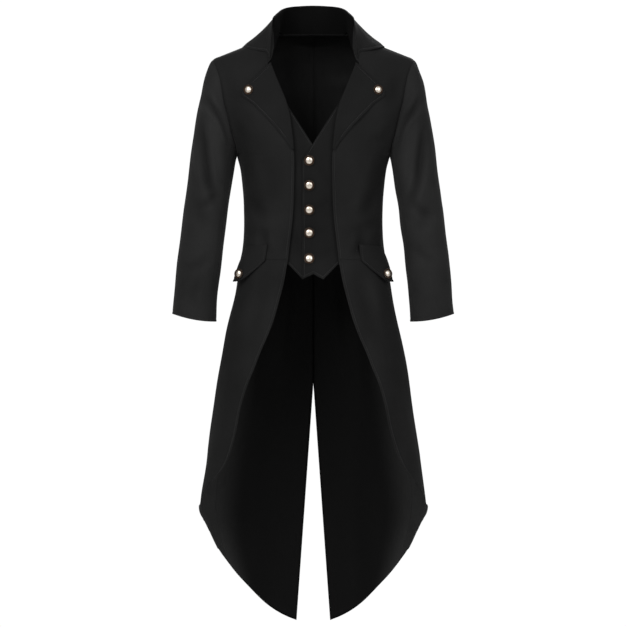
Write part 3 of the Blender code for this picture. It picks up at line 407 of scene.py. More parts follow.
# Turned edges swell as far as their row of stitches, which lies in a groove
EDGE_ROUND = 0.7
EDGE_SWELL = 0.8
EDGE_SWELL_PLACE = 2.6
EDGE_SWELL_WIDTH = 2.2
STITCH_INSET = 6.0
GROOVE_WIDTH = 1.5
FACING_WIDTH = 32.0
# Depth of a crease at which the painted shade in the wool's colour is darkest
PAINTED_SHADE_FULL_DEPTH = 6.0
# Rows at the top of the back coloured near black as painted shade, and the foot of the lapel's roll
PAINTED_SHADE_ROWS = 3
ROLL_END_Z = -222.0
# Tails: columns where the lining starts and where the cloth behind it takes the tail lining, darkened as
# painted shade, and how the lining thins out to its front edge
LINING_COLUMN = 60
DARK_COLUMN = 90
THIN_COLUMNS = 4
THINNEST_GAP = 0.15
THINNEST_SHARE = 0.25
# How far into the tails the lining is painted in the paler tone of the facing, as painted light from the
# opening, in metres
EDGE_LIGHT_REACH = 0.09
# Painted shade on the lapels: their colour darkened as in a crease of this depth
LAPEL_PAINTED_SHADE = 2.4

# Studio, in metres: pale floor, white room, soft lights, and a camera far off like the photo's
FLOOR_Z = -1.55
FLOOR_RADIUS = 5.0
FLOOR_SIDES = 96
WORLD_STRENGTH = 0.42
WHITE_SEEN = 1.02
PHOTO_PIXELS = 627
PIXEL_SIZE = 0.0022
VIEW_CENTRE = (0.0004, -0.580)
CAMERA_DISTANCE = 60.0
SENSOR_WIDTH = 36.0
SIGHT_LIMIT = 200.0
Light = namedtuple("Light", "name place aim size power")
LIGHTS = (
    Light("key", (-1.5, -2.9, 1.4), (0.0, 0.0, -0.2), 1.6, 104.0),
    Light("fill", (2.2, -3.0, 1.1), (0.0, 0.0, -0.3), 1.8, 62.0),
    Light("behind", (0.6, 3.4, 1.6), (0.0, 0.0, -0.4), 2.2, 70.0),
)

Finish = namedtuple("Finish", "hex roughness")
FINISHES = {
    "wool": Finish("171717", 0.88),
    # Sleeve wool is the body wool painted paler, as painted light
    "sleeve_wool": Finish("1e1e1e", 0.88),
    "waistcoat_wool": Finish("121212", 0.84),
    "lining": Finish("121212", 0.60),
    # The tails' lining is painted darker than the back's, as painted shade
    "tail_lining": Finish("060606", 0.60),
    # The facing is the body wool painted paler, as painted light inside the tails
    "facing": Finish("202020", 0.90),
    # Near black as painted shade inside the collar and at the top of the back
    "melton": Finish("0b0b0b", 1.00),
    # Thread is painted paler than the cloth, as a painted sheen
    "thread": Finish("202020", 0.60),
    "pale_brass": Finish("d9cfc2", 0.36),
    "tarnish": Finish("302117", 0.50),
    "studio": Finish("f7f7f6", 0.90),
}
MATERIAL_NAMES = {
    "wool": "milled black wool",
    "sleeve_wool": "milled black wool of the sleeves",
    "waistcoat_wool": "fine black wool of the waistcoat",
    "lining": "black viscose satin",
    "tail_lining": "black viscose satin of the tails",
    "facing": "brushed black wool facing",
    "melton": "black melton inside the collar",
    "thread": "black cotton thread",
    "pale_brass": "pale worn brass",
}


def linear(code):
    """Linear red, green and blue of an sRGB hex colour."""
    parts = [int(code[start:start + 2], 16) / 255 for start in (0, 2, 4)]
    return tuple(part / 12.92 if part <= 0.04045 else ((part + 0.055) / 1.055) ** 2.4 for part in parts)


def column(table, name):
    return np.array([getattr(row, name) for row in table], float)


def smooth(knots, values, at):
    """Cubic curve through the values, each slope taken from its neighbours."""
    knots = np.asarray(knots, float)
    values = np.asarray(values, float)
    at = np.clip(np.asarray(at, float), knots[0], knots[-1])
    slopes = np.gradient(values, knots, axis=0)
    index = np.clip(np.searchsorted(knots, at) - 1, 0, len(knots) - 2)
    width = knots[index + 1] - knots[index]
    t = (at - knots[index]) / width
    rise = values[index + 1] - values[index]
    bend_in = slopes[index] * width - rise
    bend_out = rise - slopes[index + 1] * width
    return values[index] + rise * t + t * (1 - t) * (bend_in * (1 - t) + bend_out * t)


def eased(values, at, widths=None):
    """Cubic curve through values at whole numbers, with no overshoot past a corner.

    The slope at a value is a harmonic mean of the slopes beside it, weighted by the widths of
    the steps, or none where they change direction."""
    values = np.asarray(values, float)
    at = np.asarray(at, float)
    tail = (1,) * (values.ndim - 1)
    width = np.ones(len(values) - 1) if widths is None else np.asarray(widths, float)
    width = width.reshape((-1,) + tail)
    steps = np.diff(values, axis=0)
    climb = steps / width
    before, after = climb[:-1], climb[1:]
    weight_before = 2 * width[1:] + width[:-1]
    weight_after = width[1:] + 2 * width[:-1]
    same_way = before * after > 0
    mean = np.where(same_way, weight_before * after + weight_after * before, 1)
    inside = np.where(same_way, (weight_before + weight_after) * before * after / mean, 0)
    slopes = np.concatenate([climb[:1], inside, climb[-1:]])
    index = np.clip(np.floor(at).astype(int), 0, len(values) - 2)
    t = (at - index).reshape((-1,) + tail)
    bend_in = slopes[index] * width[index] - steps[index]
    bend_out = steps[index] - slopes[index + 1] * width[index]
    return values[index] + steps[index] * t + t * (1 - t) * (bend_in * (1 - t) + bend_out * t)


def unit(vectors):
    length = np.linalg.norm(vectors, axis=-1, keepdims=True)
    return vectors / np.maximum(length, 1e-9)


def stations(count, per_step):
    """Places along count coarse lines, evenly spaced, with more of them close to both ends."""
    last = count - 1
    even = np.linspace(0, last, last * per_step + 1)
    near = np.array(NEAR_EDGE)
    return np.unique(np.round(np.concatenate([even, near, last - near]), 4))


def shares(count):
    """Shares from 0 to 1, evenly spaced, with more of them close to both ends."""
    near = np.array(NEAR_EDGE) * 3 / count
    return np.unique(np.round(np.concatenate([np.linspace(0, 1, count), near, 1 - near]), 6))


def trunk_size(z, name):
    return smooth(column(TRUNK, "z"), column(TRUNK, name), z)


def armhole_rows():
    """Edge of the armhole as seen from the front: height by cosine of the angle, width from the table."""
    angle = np.radians(np.array(ARMHOLE_ANGLES, float))
    half = (TIP_Z - ARMPIT_Z) / 2
    z = ARMPIT_Z + half + half * np.cos(angle)
    x = smooth(column(ARMHOLE, "z"), column(ARMHOLE, "x"), z)
    return angle, x, z


def bodice_rows(face, at):
    """Rows of a bodice face from the waist to the shoulder: outer edge, centre line, wrap and tilt."""
    low_z = np.array(BODICE_ROWS_Z, float)
    angle, arm_x, arm_z = armhole_rows()
    bow = np.abs(np.sin(angle)) ** ARMHOLE_BOW_POWER
    bow[0] = bow[-1] = 0.0
    middle = SIDE_SEAM_Y + (SHOULDER_Y - SIDE_SEAM_Y) * (1 + np.cos(angle)) / 2
    climb = np.clip((arm_z - ARMPIT_Z) / (TIP_Z - ARMPIT_Z), 0, 1)
    if face == "front":
        edge_y = middle - ARMHOLE_FRONT_REACH * bow
        low_centre = SIDE_SEAM_Y - trunk_size(low_z, "front_depth")
        high_centre = smooth(column(CENTRE, "z"), column(CENTRE, "front_y"), arm_z)
    else:
        edge_y = middle + ARMHOLE_BACK_REACH * bow
        low_centre = SIDE_SEAM_Y + trunk_size(low_z, "back_depth")
        high_centre = smooth(column(CENTRE, "z"), column(CENTRE, "back_y"), arm_z)
    high_centre[-1] = SHOULDER_Y
    cut = (edge_y[:-1] - middle[:-1]) / (high_centre[:-1] - middle[:-1])
    wrap = np.append((1 - cut ** CHEST_POWER) ** (1 / CHEST_POWER), TOP_WRAP)
    rows = {
        "middle": np.concatenate([np.full(len(low_z), SIDE_SEAM_Y), middle]),
        "z": np.concatenate([low_z, arm_z]),
        "x": np.concatenate([trunk_size(low_z, "half_width"), arm_x]),
        "edge_y": np.concatenate([np.full(len(low_z), SIDE_SEAM_Y), edge_y]),
        "centre_y": np.concatenate([low_centre, high_centre]),
        "wrap": np.concatenate([np.ones(len(low_z)), wrap]),
        "lift": np.concatenate([np.zeros(len(low_z)), climb ** SHOULDER_LIFT_POWER]),
        "neck_x": np.concatenate([np.zeros(len(low_z) + NECKLINE_START), BACK_NECK_X]),
    }
    centre_z = rows["z"] + rows["lift"] * SHOULDER_SLOPE * rows["x"]
    spacing = np.hypot(np.diff(centre_z), np.diff(rows["centre_y"]))
    fine = {name: eased(values, at, spacing) for name, values in rows.items()}
    cut = (fine["edge_y"] - fine["middle"]) / (fine["centre_y"] - fine["middle"] + 1e-9)
    cut = np.clip(cut, 0, 1)
    below_shoulder = at <= len(rows["z"]) - 2
    fine["wrap"] = np.where(below_shoulder, (1 - cut ** CHEST_POWER) ** (1 / CHEST_POWER), fine["wrap"])
    return fine


def row_point(rows, x):
    """Depth and height on every row at a distance x from the centre line.

    The section is a power curve, full at the chest, cut off where the row's edge lies."""
    wrap, edge_x = rows["wrap"][:, None], rows["x"][:, None]
    reach = np.clip(wrap * np.abs(x) / edge_x, 0, 1)
    end = (1 - np.minimum(wrap, 1.0) ** CHEST_POWER) ** (1 / CHEST_POWER)
    share = np.maximum(((1 - reach ** CHEST_POWER) ** (1 / CHEST_POWER) - end) / (1 - end), 0)
    y = rows["edge_y"][:, None] + (rows["centre_y"] - rows["edge_y"])[:, None] * share
    z = rows["z"][:, None] + rows["lift"][:, None] * SHOULDER_SLOPE * (edge_x - np.abs(x))
    return y, z


def front_edge_x(z):
    """Where the front panel's own edge runs, set back under the rolled lapel."""
    edge = smooth(column(FRONT_EDGE, "z"), column(FRONT_EDGE, "x"), z)
    above_foot = np.clip((z - ROLL_FOOT_Z) / ROLL_FOOT_FADE, 0, 1)
    below_top = np.clip((ROLL_TOP_Z - z) / ROLL_TOP_FADE, 0, 1)
    return edge + ROLL_SETBACK * above_foot * below_top


def bodice_grid(face, at, across):
    """Points of a bodice face at the given rows, with shares across from the centre to the side."""
    rows = bodice_rows(face, at)
    if face == "front":
        inner_x = np.full((len(at), 1), FIRST_EDGE_GUESS)
        for _ in range(EDGE_ROUNDS):
            inner_x = 0.5 * inner_x + 0.5 * front_edge_x(row_point(rows, inner_x)[1])
    else:
        inner_x = rows["neck_x"][:, None]
    wrap = np.minimum(rows["wrap"], 1.0)[:, None]
    edge_x = rows["x"][:, None]
    first = np.arcsin(wrap * inner_x / edge_x)
    last = np.arcsin(wrap)
    x = edge_x * np.sin(first + (last - first) * across[None, :]) / wrap
    y, z = row_point(rows, x)
    grid = np.stack([x, y, z], axis=2)
    grid[-1, :, 1] = SHOULDER_Y
    return grid


def across_seam(normals, distance, axis):
    """Normals without their part along one axis near an edge, so that both sides of a seam dip as one."""
    weight = np.exp(-(distance / SEAM_HOLD) ** 2)[..., None]
    level = normals.copy()
    level[..., axis] = 0
    return unit(normals * (1 - weight) + unit(level) * weight)


def grid_normals(grid, outward):
    """Unit normals of a grid, turned to the side where outward points."""
    normals = unit(np.cross(np.gradient(grid, axis=0), np.gradient(grid, axis=1)))
    if np.sum(normals * outward) < 0:
        normals = -normals
    return normals


def from_axis(grid):
    """Directions level and away from the coat's upright axis."""
    away = grid - np.array([0, SIDE_SEAM_Y, 0])
    away[..., 2] = 0
    return away


def section_share(reach, z):
    """Depth share of a section, from a full chest above to a plain ellipse at the tails."""
    power = np.interp(z, (ELLIPSE_Z, WAIST_Z), (2.0, CHEST_POWER))
    return np.maximum(1 - reach ** power, 0) ** (1 / power)


def surface_at(face, x, z):
    """Depth of the coat's outer surface at a place in the front or back view."""
    rows = bodice_rows(face, stations(len(BODICE_ROWS_Z) + len(ARMHOLE_ANGLES), 6))
    distance = np.abs(x)
    depths, heights = row_point(rows, distance)
    index = np.clip(np.sum(heights < z, axis=0) - 1, 0, len(heights) - 2)
    flat = np.arange(len(distance))
    start = heights[index, flat]
    share = np.clip((z - start) / (heights[index + 1, flat] - start), 0, 1)
    y = depths[index, flat] * (1 - share) + depths[index + 1, flat] * share
    reach = np.clip(distance / trunk_size(z, "half_width"), 0, 1)
    sign, name = (-1, "front_depth") if face == "front" else (1, "back_depth")
    skirt_y = SIDE_SEAM_Y + sign * trunk_size(z, name) * section_share(reach, z)
    return np.where(z < WAIST_Z, skirt_y, y)


def place(face, x, z, height):
    """Points a given height above the coat's outer surface, along its normal."""
    x = np.asarray(x, float)
    shape = x.shape
    flat_x = x.ravel()
    flat_z = np.broadcast_to(np.asarray(z, float), shape).ravel()
    flat_h = np.broadcast_to(np.asarray(height, float), shape).ravel()
    y = surface_at(face, flat_x, flat_z)
    rise_x = surface_at(face, flat_x + PROBE, flat_z) - surface_at(face, flat_x - PROBE, flat_z)
    rise_z = surface_at(face, flat_x, flat_z + PROBE) - surface_at(face, flat_x, flat_z - PROBE)
    facing = -1.0 if face == "front" else 1.0
    slopes = np.stack([rise_x, rise_z], axis=1) / (2 * PROBE) * facing
    normals = unit(np.stack([-slopes[:, 0], np.full(len(y), facing), -slopes[:, 1]], axis=1))
    points = np.stack([flat_x, y, flat_z], axis=1) + normals * flat_h[:, None]
    return points.reshape(shape + (3,)), normals.reshape(shape + (3,))


def ripple(points, wavelength, seed):
    """Uneven soft waves from -1 to 1: a sum of sines in random directions."""
    random = np.random.default_rng(seed)
    total = np.zeros(points.shape[:-1])
    for _ in range(RIPPLE_WAVES):
        direction = unit(random.normal(size=3) * np.array([1.0, 1.0, 0.7]))
        length = wavelength * random.uniform(0.7, 1.6)
        total += np.sin(points @ direction * 2 * math.pi / length + random.uniform(0, 2 * math.pi))
    return total / math.sqrt(RIPPLE_WAVES)


def distance_to_line(x, z, points):
    """Distance in a view from each place to a broken line, and the share along it."""
    points = np.array(points, float)
    steps = np.linalg.norm(np.diff(points, axis=0), axis=1)
    starts = np.concatenate([[0], np.cumsum(steps)])
    nearest = np.full(x.shape, 1e9)
    along = np.zeros(x.shape)
    for start, end, begin, length in zip(points[:-1], points[1:], starts[:-1], steps):
        direction = (end - start) / length
        run = np.clip((x - start[0]) * direction[0] + (z - start[1]) * direction[1], 0, length)
        gap = np.hypot(x - start[0] - run * direction[0], z - start[1] - run * direction[1])
        along = np.where(gap < nearest, (begin + run) / starts[-1], along)
        nearest = np.minimum(gap, nearest)
    return nearest, along


def crease_relief(grid, normals, creases, side):
    """Height of the cloth from its creases.

    Each is a soft trough round a line, with a low lip on both sides, that fades at both
    ends and on cloth that faces away from the view it is drawn in."""
    facing = {
        "front": np.clip(FACING_START - FACING_GAIN * normals[..., 1], 0, 1),
        "back": np.clip(FACING_START + FACING_GAIN * normals[..., 1], 0, 1),
        "outside": np.clip(OUTSIDE_START + FACING_GAIN * normals[..., 0], 0, 1),
    }
    relief = np.zeros(grid.shape[:2])
    for crease in creases:
        if crease.side not in ("both", side):
            continue
        line = np.array(crease.points, float)
        if crease.side == "both" and side == "right":
            line = line + np.array(RIGHT_SHIFT)
        across = grid[..., 1] if crease.view == "outside" else grid[..., 0]
        gap, along = distance_to_line(across, grid[..., 2], smooth_line(line))
        gap = gap / crease.half_width
        ends = np.clip(np.sin(math.pi * (0.03 + 0.94 * along)), 0, 1) ** CREASE_END_POWER
        trough = np.exp(-gap ** 2) - LIP_HEIGHT * np.exp(-((gap - LIP_PLACE) / LIP_WIDTH) ** 2)
        relief -= crease.depth * trough * ends * facing[crease.view]
    return relief


def smooth_line(points):
    """The curve through a crease's points."""
    knots = np.arange(len(points), dtype=float)
    at = np.linspace(0, len(points) - 1, 6 * (len(points) - 1) + 1)
    return np.stack([smooth(knots, points[:, axis], at) for axis in (0, 1)], axis=1)


def edge_distances(grid):
    """Distance over the cloth from each point to each of the grid's four edges."""
    down = np.linalg.norm(np.diff(grid, axis=0), axis=2)
    across = np.linalg.norm(np.diff(grid, axis=1), axis=2)
    rows, columns = grid.shape[:2]
    from_first = np.concatenate([np.zeros((1, columns)), np.cumsum(down, axis=0)])
    from_left = np.concatenate([np.zeros((rows, 1)), np.cumsum(across, axis=1)], axis=1)
    return {
        "first_row": from_first, "last_row": from_first[-1:] - from_first,
        "first_column": from_left, "last_column": from_left[:, -1:] - from_left,
    }


def seam_relief(distance, depth):
    """Dip of the cloth into a seam, with a slight swell beside it."""
    dip = np.exp(-(distance / SEAM_WIDTH) ** 2)
    swell = np.exp(-((distance / SEAM_WIDTH - SEAM_SWELL_PLACE) / SEAM_SWELL_WIDTH) ** 2)
    return depth * (SEAM_SWELL * swell - dip)


def edge_relief(distance, depth):
    """Swell of a turned edge, and the groove that its row of stitches pulls in."""
    swell = np.exp(-((distance - EDGE_SWELL_PLACE) / EDGE_SWELL_WIDTH) ** 2)
    groove = np.exp(-((distance - STITCH_INSET) / GROOVE_WIDTH) ** 2)
    return depth * (EDGE_SWELL * swell - groove)


def waves(points, part, side="left"):
    """Soft waves of one part of the coat, from its own place in the random draws."""
    sizes = bpy.context.scene.tailcoat_sizes
    wave = WAVES[part]
    uneven = ripple(points, wave.length, sizes.seed + wave.seed + SIDES.index(side))
    return uneven * wave.share * sizes.ripple_height / MM


def dress(grid, normals, side, creases, part, seams=(), edges=(), held=()):
    """Relief of one panel: creases and ripples, held flat at its seams, then the seams and edges."""
    sizes = bpy.context.scene.tailcoat_sizes
    relief = crease_relief(grid, normals, creases, side) * sizes.crease_strength
    relief += waves(grid, part, side)
    distance = edge_distances(grid)
    for edge in tuple(seams) + tuple(held):
        relief *= 1 - np.exp(-(distance[edge] / SEAM_HOLD) ** 2)
    for edge in seams:
        share = WAIST_SEAM if edge == "first_row" else 1.0
        relief += seam_relief(distance[edge], share * sizes.seam_depth / MM)
    for edge in edges:
        relief += edge_relief(distance[edge], sizes.seam_depth / MM)
    return relief


def border_of(rows, columns):
    """Border of a grid as one loop of places, and the place one step inside each."""
    row = np.concatenate([
        np.zeros(columns, int), np.arange(1, rows),
        np.full(columns - 1, rows - 1), np.arange(rows - 2, 0, -1),
    ])
    col = np.concatenate([
        np.arange(columns), np.full(rows - 1, columns - 1),
        np.arange(columns - 2, -1, -1), np.zeros(rows - 2, int),
    ])
    inside = np.clip(row, 1, rows - 2) * columns + np.clip(col, 1, columns - 2)
    return row * columns + col, inside


def lined_inside(grid, facing=()):
    """Which quads of a grid are lined: all but a strip along the edges named in facing."""
    lined = np.ones((grid.shape[0] - 1, grid.shape[1] - 1), bool)
    distance = edge_distances(grid)
    for edge in facing:
        lined &= (distance[edge] > FACING_WIDTH)[:-1, :-1]
    return lined


def cloth_shell(name, outer, inner, side, materials, lined=None, lined_face=None, hollow=None,
                seams=()):
    """Closed shell between two grids of points, with rounded edges and a UV map in metres.

    A line of points half way between the two faces forms each edge, and the faces' own
    borders are drawn in a little from it, less along the edges named in seams. Quads of the
    inner face take the material numbered in lined, those of the outer one the number in
    lined_face. Relief given as hollow marks how deep each place lies in a crease, which the
    wool's colour shows as painted shade in creases and a painted highlight on ridges."""
    rows, columns = outer.shape[:2]
    count = rows * columns
    flip = np.array([-1.0 if side == "right" else 1.0, 1.0, 1.0])
    distance = edge_distances(outer)
    border, inside = border_of(rows, columns)
    faces_of = [outer.reshape(-1, 3) * flip, inner.reshape(-1, 3) * flip]
    rim = (faces_of[0][border] + faces_of[1][border]) / 2
    row, col = border // columns, border % columns
    on_edge = {
        "first_row": row == 0, "last_row": row == rows - 1,
        "first_column": col == 0, "last_column": col == columns - 1,
    }
    drawn_in = np.full((len(border), 1), EDGE_ROUND)
    for edge in seams:
        drawn_in[on_edge[edge]] = SEAM_ROUND
    for points in faces_of:
        points[border] += unit(points[inside] - points[border]) * drawn_in
    points = np.concatenate(faces_of + [rim]) * MM
    place_of = np.arange(count).reshape(rows, columns)
    quads = np.stack([
        place_of[:-1, :-1], place_of[:-1, 1:], place_of[1:, 1:], place_of[1:, :-1],
    ], axis=2).reshape(-1, 4)
    step = np.arange(len(border))
    after = np.roll(step, -1)
    outer_band = np.stack([border, border[after], 2 * count + after, 2 * count + step], axis=1)[:, ::-1]
    inner_band = np.stack([border, border[after], 2 * count + after, 2 * count + step], axis=1)
    inner_band[:, :2] += count
    faces = np.concatenate([quads, quads[:, ::-1] + count, outer_band, inner_band])
    corner = points[quads]
    turn = np.cross(corner[:, 1] - corner[:, 0], corner[:, 3] - corner[:, 0])
    outward = (faces_of[0] - faces_of[1])[quads[:, 0]]
    if np.sum(turn * outward) < 0:
        faces = faces[:, ::-1]
    uv = np.stack([distance["first_column"], distance["first_row"]], axis=2).reshape(-1, 2) * MM
    uv = np.concatenate([uv, uv, uv[border]])
    slots = np.zeros(len(faces), int)
    beside = (np.minimum(row, rows - 2), np.minimum(col, columns - 2))
    if lined is not None:
        slots[len(quads):2 * len(quads)] = lined.ravel()
        slots[2 * len(quads) + len(border):] = lined[beside]
    if lined_face is not None:
        slots[:len(quads)] = lined_face.ravel()
        slots[2 * len(quads):2 * len(quads) + len(border)] = lined_face[beside]
    # Crease depth, which the wool's colour turns into painted shade in creases and a painted highlight on
    # ridges
    depth = np.zeros(len(points))
    if hollow is not None:
        depth[:count] = np.clip(-hollow / PAINTED_SHADE_FULL_DEPTH, -0.5, 1).ravel()
    piece = new_piece(name, points, faces.tolist(), materials, "hollow", depth)
    layer = piece.data.uv_layers.new(name="cloth")
    layer.data.foreach_set("uv", uv[faces.ravel()].ravel().astype(np.float32))
    piece.data.polygons.foreach_set("material_index", slots.astype(np.int32))
    piece.data.update()
    return piece


def new_piece(name, points, faces, materials, mark=None, values=None):
    """Mesh object at the origin from points in metres, with a value at each point under the name mark."""
    mesh = bpy.data.meshes.new(name)
    mesh.from_pydata(points.tolist(), [], faces)
    for material in materials:
        mesh.materials.append(material)
    if mark is not None:
        layer = mesh.attributes.new(name=mark, type="FLOAT", domain="POINT")
        layer.data.foreach_set("value", values.astype(np.float32))
    mesh.shade_smooth()
    piece = bpy.data.objects.new(name, mesh)
    bpy.context.scene.collection.objects.link(piece)
    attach(piece, BODY)
    return piece


def declare(node):
    """Hide the frame's node that a cloth piece stands for."""
    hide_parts(node)


# Rows of stitches noted by each panel, and the sewn armhole edges that the sleeves start from
STITCHES = []
ARMHOLE_EDGES = {}


def inset_line(grid, normals, distance, inset, axis):
    """Line over the cloth at a given distance from one of its edges, with its normals."""
    if axis == 0:
        grid, normals = np.swapaxes(grid, 0, 1), np.swapaxes(normals, 0, 1)
        distance = distance.T
    if distance[0, 0] > distance[0, -1]:
        grid, normals, distance = grid[:, ::-1], normals[:, ::-1], distance[:, ::-1]
    index = np.maximum(np.argmax(distance >= inset, axis=1), 1)
    each = np.arange(len(grid))
    low, high = distance[each, index - 1], distance[each, index]
    t = ((inset - low) / np.maximum(high - low, 1e-6))[:, None]
    line = grid[each, index - 1] * (1 - t) + grid[each, index] * t
    return line, unit(normals[each, index - 1] * (1 - t) + normals[each, index] * t)


def stitch_edge(group, side, grid, normals, edge, trim=(0.01, 0.99)):
    """Note a row of stitches along one edge of a panel, to be sewn later."""
    axis = 1 if edge.endswith("column") else 0
    line, out = inset_line(grid, normals, edge_distances(grid)[edge], STITCH_INSET, axis)
    STITCHES.append((group, side, line, out, trim))


def sew(line, out, trim, pitch, thread):
    """Stitches along a line: short rods with pointed ends that dip into the cloth.

    Each is a four-sided rod carried along the line, its middle raised and its ends sunk."""
    steps = np.linalg.norm(np.diff(line, axis=0), axis=1)
    travel = np.concatenate([[0], np.cumsum(steps)])
    count = max(2, int(travel[-1] * (trim[1] - trim[0]) / pitch))
    middles = travel[-1] * (trim[0] + (trim[1] - trim[0]) * (np.arange(count) + 0.5) / count)
    along = np.array([-0.36, -0.2, 0.0, 0.2, 0.36]) * pitch
    height = np.array([-0.35, 0.35, 0.6, 0.35, -0.35]) * thread
    width = np.array([0.15, 0.85, 1.0, 0.85, 0.15]) * thread
    at = np.clip(middles[:, None] + along[None, :], 0, travel[-1])
    centre = np.stack([np.interp(at, travel, line[:, axis]) for axis in range(3)], axis=2)
    up = unit(np.stack([np.interp(at, travel, out[:, axis]) for axis in range(3)], axis=2))
    run = unit(np.gradient(centre, axis=1))
    sideways = unit(np.cross(up, run))
    corner = np.array([[1, 0], [0, 1], [-1, 0], [0, -1]], float)
    rings = centre[:, :, None, :] + up[:, :, None, :] * height[None, :, None, None]
    rings = rings + width[None, :, None, None] * (
        corner[None, None, :, :1] * sideways[:, :, None, :] + corner[None, None, :, 1:] * up[:, :, None, :])
    ring = np.arange(4)
    faces = []
    for section in range(4):
        first = section * 4
        faces.append(np.stack([
            first + ring, first + (ring + 1) % 4, first + 4 + (ring + 1) % 4, first + 4 + ring,
        ], axis=1))
    faces.append(np.array([[3, 2, 1, 0], [16, 17, 18, 19]]))
    faces = np.concatenate(faces)[None] + (np.arange(count) * 20)[:, None, None]
    return rings.reshape(-1, 3), faces.reshape(-1, 4)


def add_node(tree, kind, settings=(), links=()):
    """Add a shader node, with its settings by name and its inputs linked or set by name or place."""
    node = tree.nodes.new(kind)
    for name, value in dict(settings).items():
        setattr(node, name, value)
    for name, source in dict(links).items():
        if isinstance(source, bpy.types.NodeSocket):
            tree.links.new(source, node.inputs[name])
        else:
            node.inputs[name].default_value = source
    return node


def object_place(tree):
    """Place of each point in the coat's own frame."""
    return add_node(tree, "ShaderNodeTexCoord").outputs["Object"]


def cloth_place(tree):
    """Place over the flat cloth, in metres."""
    return add_node(tree, "ShaderNodeUVMap", {"uv_map": "cloth"}).outputs["UV"]


def add_noise(tree, vector, scale, detail, roughness=0.5):
    links = {"Vector": vector, "Scale": scale, "Detail": detail, "Roughness": roughness}
    return add_node(tree, "ShaderNodeTexNoise", links=links).outputs["Fac"]


def add_range(tree, value, before, after, interpolation="LINEAR"):
    """A value carried from one range to another, and held at its ends."""
    links = {
        "Value": value, "From Min": before[0], "From Max": before[1], "To Min": after[0], "To Max": after[1],
    }
    settings = {"interpolation_type": interpolation}
    return add_node(tree, "ShaderNodeMapRange", settings, links).outputs["Result"]


def add_sum(tree, value, factor, other):
    """A value times a factor, plus another value."""
    links = {0: value, 1: factor, 2: other}
    return add_node(tree, "ShaderNodeMath", {"operation": "MULTIPLY_ADD"}, links).outputs["Value"]


def add_bump(tree, height, strength, distance):
    links = {"Strength": strength, "Distance": distance, "Height": height}
    return add_node(tree, "ShaderNodeBump", links=links).outputs["Normal"]


def add_shade(tree, colour, scale):
    """A colour made paler or darker."""
    links = {0: colour, "Scale": scale}
    return add_node(tree, "ShaderNodeVectorMath", {"operation": "SCALE"}, links).outputs["Vector"]


def add_blend(tree, amount, first, second):
    """Mix of two colours."""
    links = {0: amount, 6: (*first, 1), 7: (*second, 1)}
    return add_node(tree, "ShaderNodeMix", {"data_type": "RGBA"}, links).outputs[2]


def add_surface(tree, inputs):
    """Principled surface, linked to the material's output."""
    shader = add_node(tree, "ShaderNodeBsdfPrincipled", links=inputs)
    add_node(tree, "ShaderNodeOutputMaterial", links={"Surface": shader.outputs["BSDF"]})


def new_material(name):
    """Empty node material, and the tree to fill."""
    material = bpy.data.materials.new(name)
    material.use_nodes = True
    tree = material.node_tree
    tree.nodes.clear()
    return material, tree


def wool_cloth(name, colour, roughness, thread_mm, nap_bump):
    """Milled worsted wool: a fine diagonal twill, softened by a short nap that scatters light.

    A twill of 0.5 mm is too fine to show here, so it is drawn at thread_mm. The nap gives
    patches a few millimetres wide, and wear gives paler places a hand's breadth across. By the
    depth in the hollow attribute, the colour is darkened in a crease as painted shade and made
    paler on a ridge as a painted highlight."""
    material, tree = new_material(name)
    spun = add_node(tree, "ShaderNodeMapping", links={
        "Vector": cloth_place(tree), "Scale": (1000 / thread_mm, 1000 / thread_mm, 1),
        "Rotation": (0, 0, math.radians(45)),
    })
    twill = add_node(tree, "ShaderNodeTexWave", {"wave_type": "BANDS", "bands_direction": "X"}, {
        "Vector": spun.outputs["Vector"], "Scale": 0.32, "Distortion": 0.6, "Detail": 1.0,
    })
    here = object_place(tree)
    nap = add_noise(tree, here, 420.0, 3.0, 0.65)
    wear = add_noise(tree, here, 9.0, 2.0)
    pile = add_sum(tree, nap, 1.3, twill.outputs["Fac"])
    shade = add_range(tree, add_sum(tree, nap, 0.5, wear), (0.45, 1.05), (0.78, 1.22))
    # Painted shade and highlight: crease depth darkens the colour in creases and makes it paler on ridges
    hollow = add_node(tree, "ShaderNodeAttribute", {"attribute_name": "hollow"})
    painted_crease_shade = add_range(tree, hollow.outputs["Fac"], (-0.5, 1.0), (1.2, 0.6))
    worn = add_node(tree, "ShaderNodeMath", {"operation": "MULTIPLY"}, {0: shade, 1: painted_crease_shade})
    add_surface(tree, {
        "Base Color": add_shade(tree, tuple(colour), worn.outputs["Value"]), "Roughness": roughness,
        "Normal": add_bump(tree, pile, nap_bump, 0.0006), "Specular IOR Level": 0.08,
        "Sheen Weight": 0.02, "Sheen Roughness": 0.4, "Sheen Tint": (1, 1, 1, 1),
    })
    return material


def collar_melton_painted_shade(name, colour, roughness):
    """Dense felted cloth inside the collar, coloured near black as painted shade: short and matt, with little
    gloss.
    """
    material, tree = new_material(name)
    felt = add_noise(tree, object_place(tree), 500.0, 2.0)
    add_surface(tree, {
        "Base Color": (*colour, 1), "Roughness": roughness, "Normal": add_bump(tree, felt, 0.3, 0.0004),
        "Specular IOR Level": 0.02,
    })
    return material


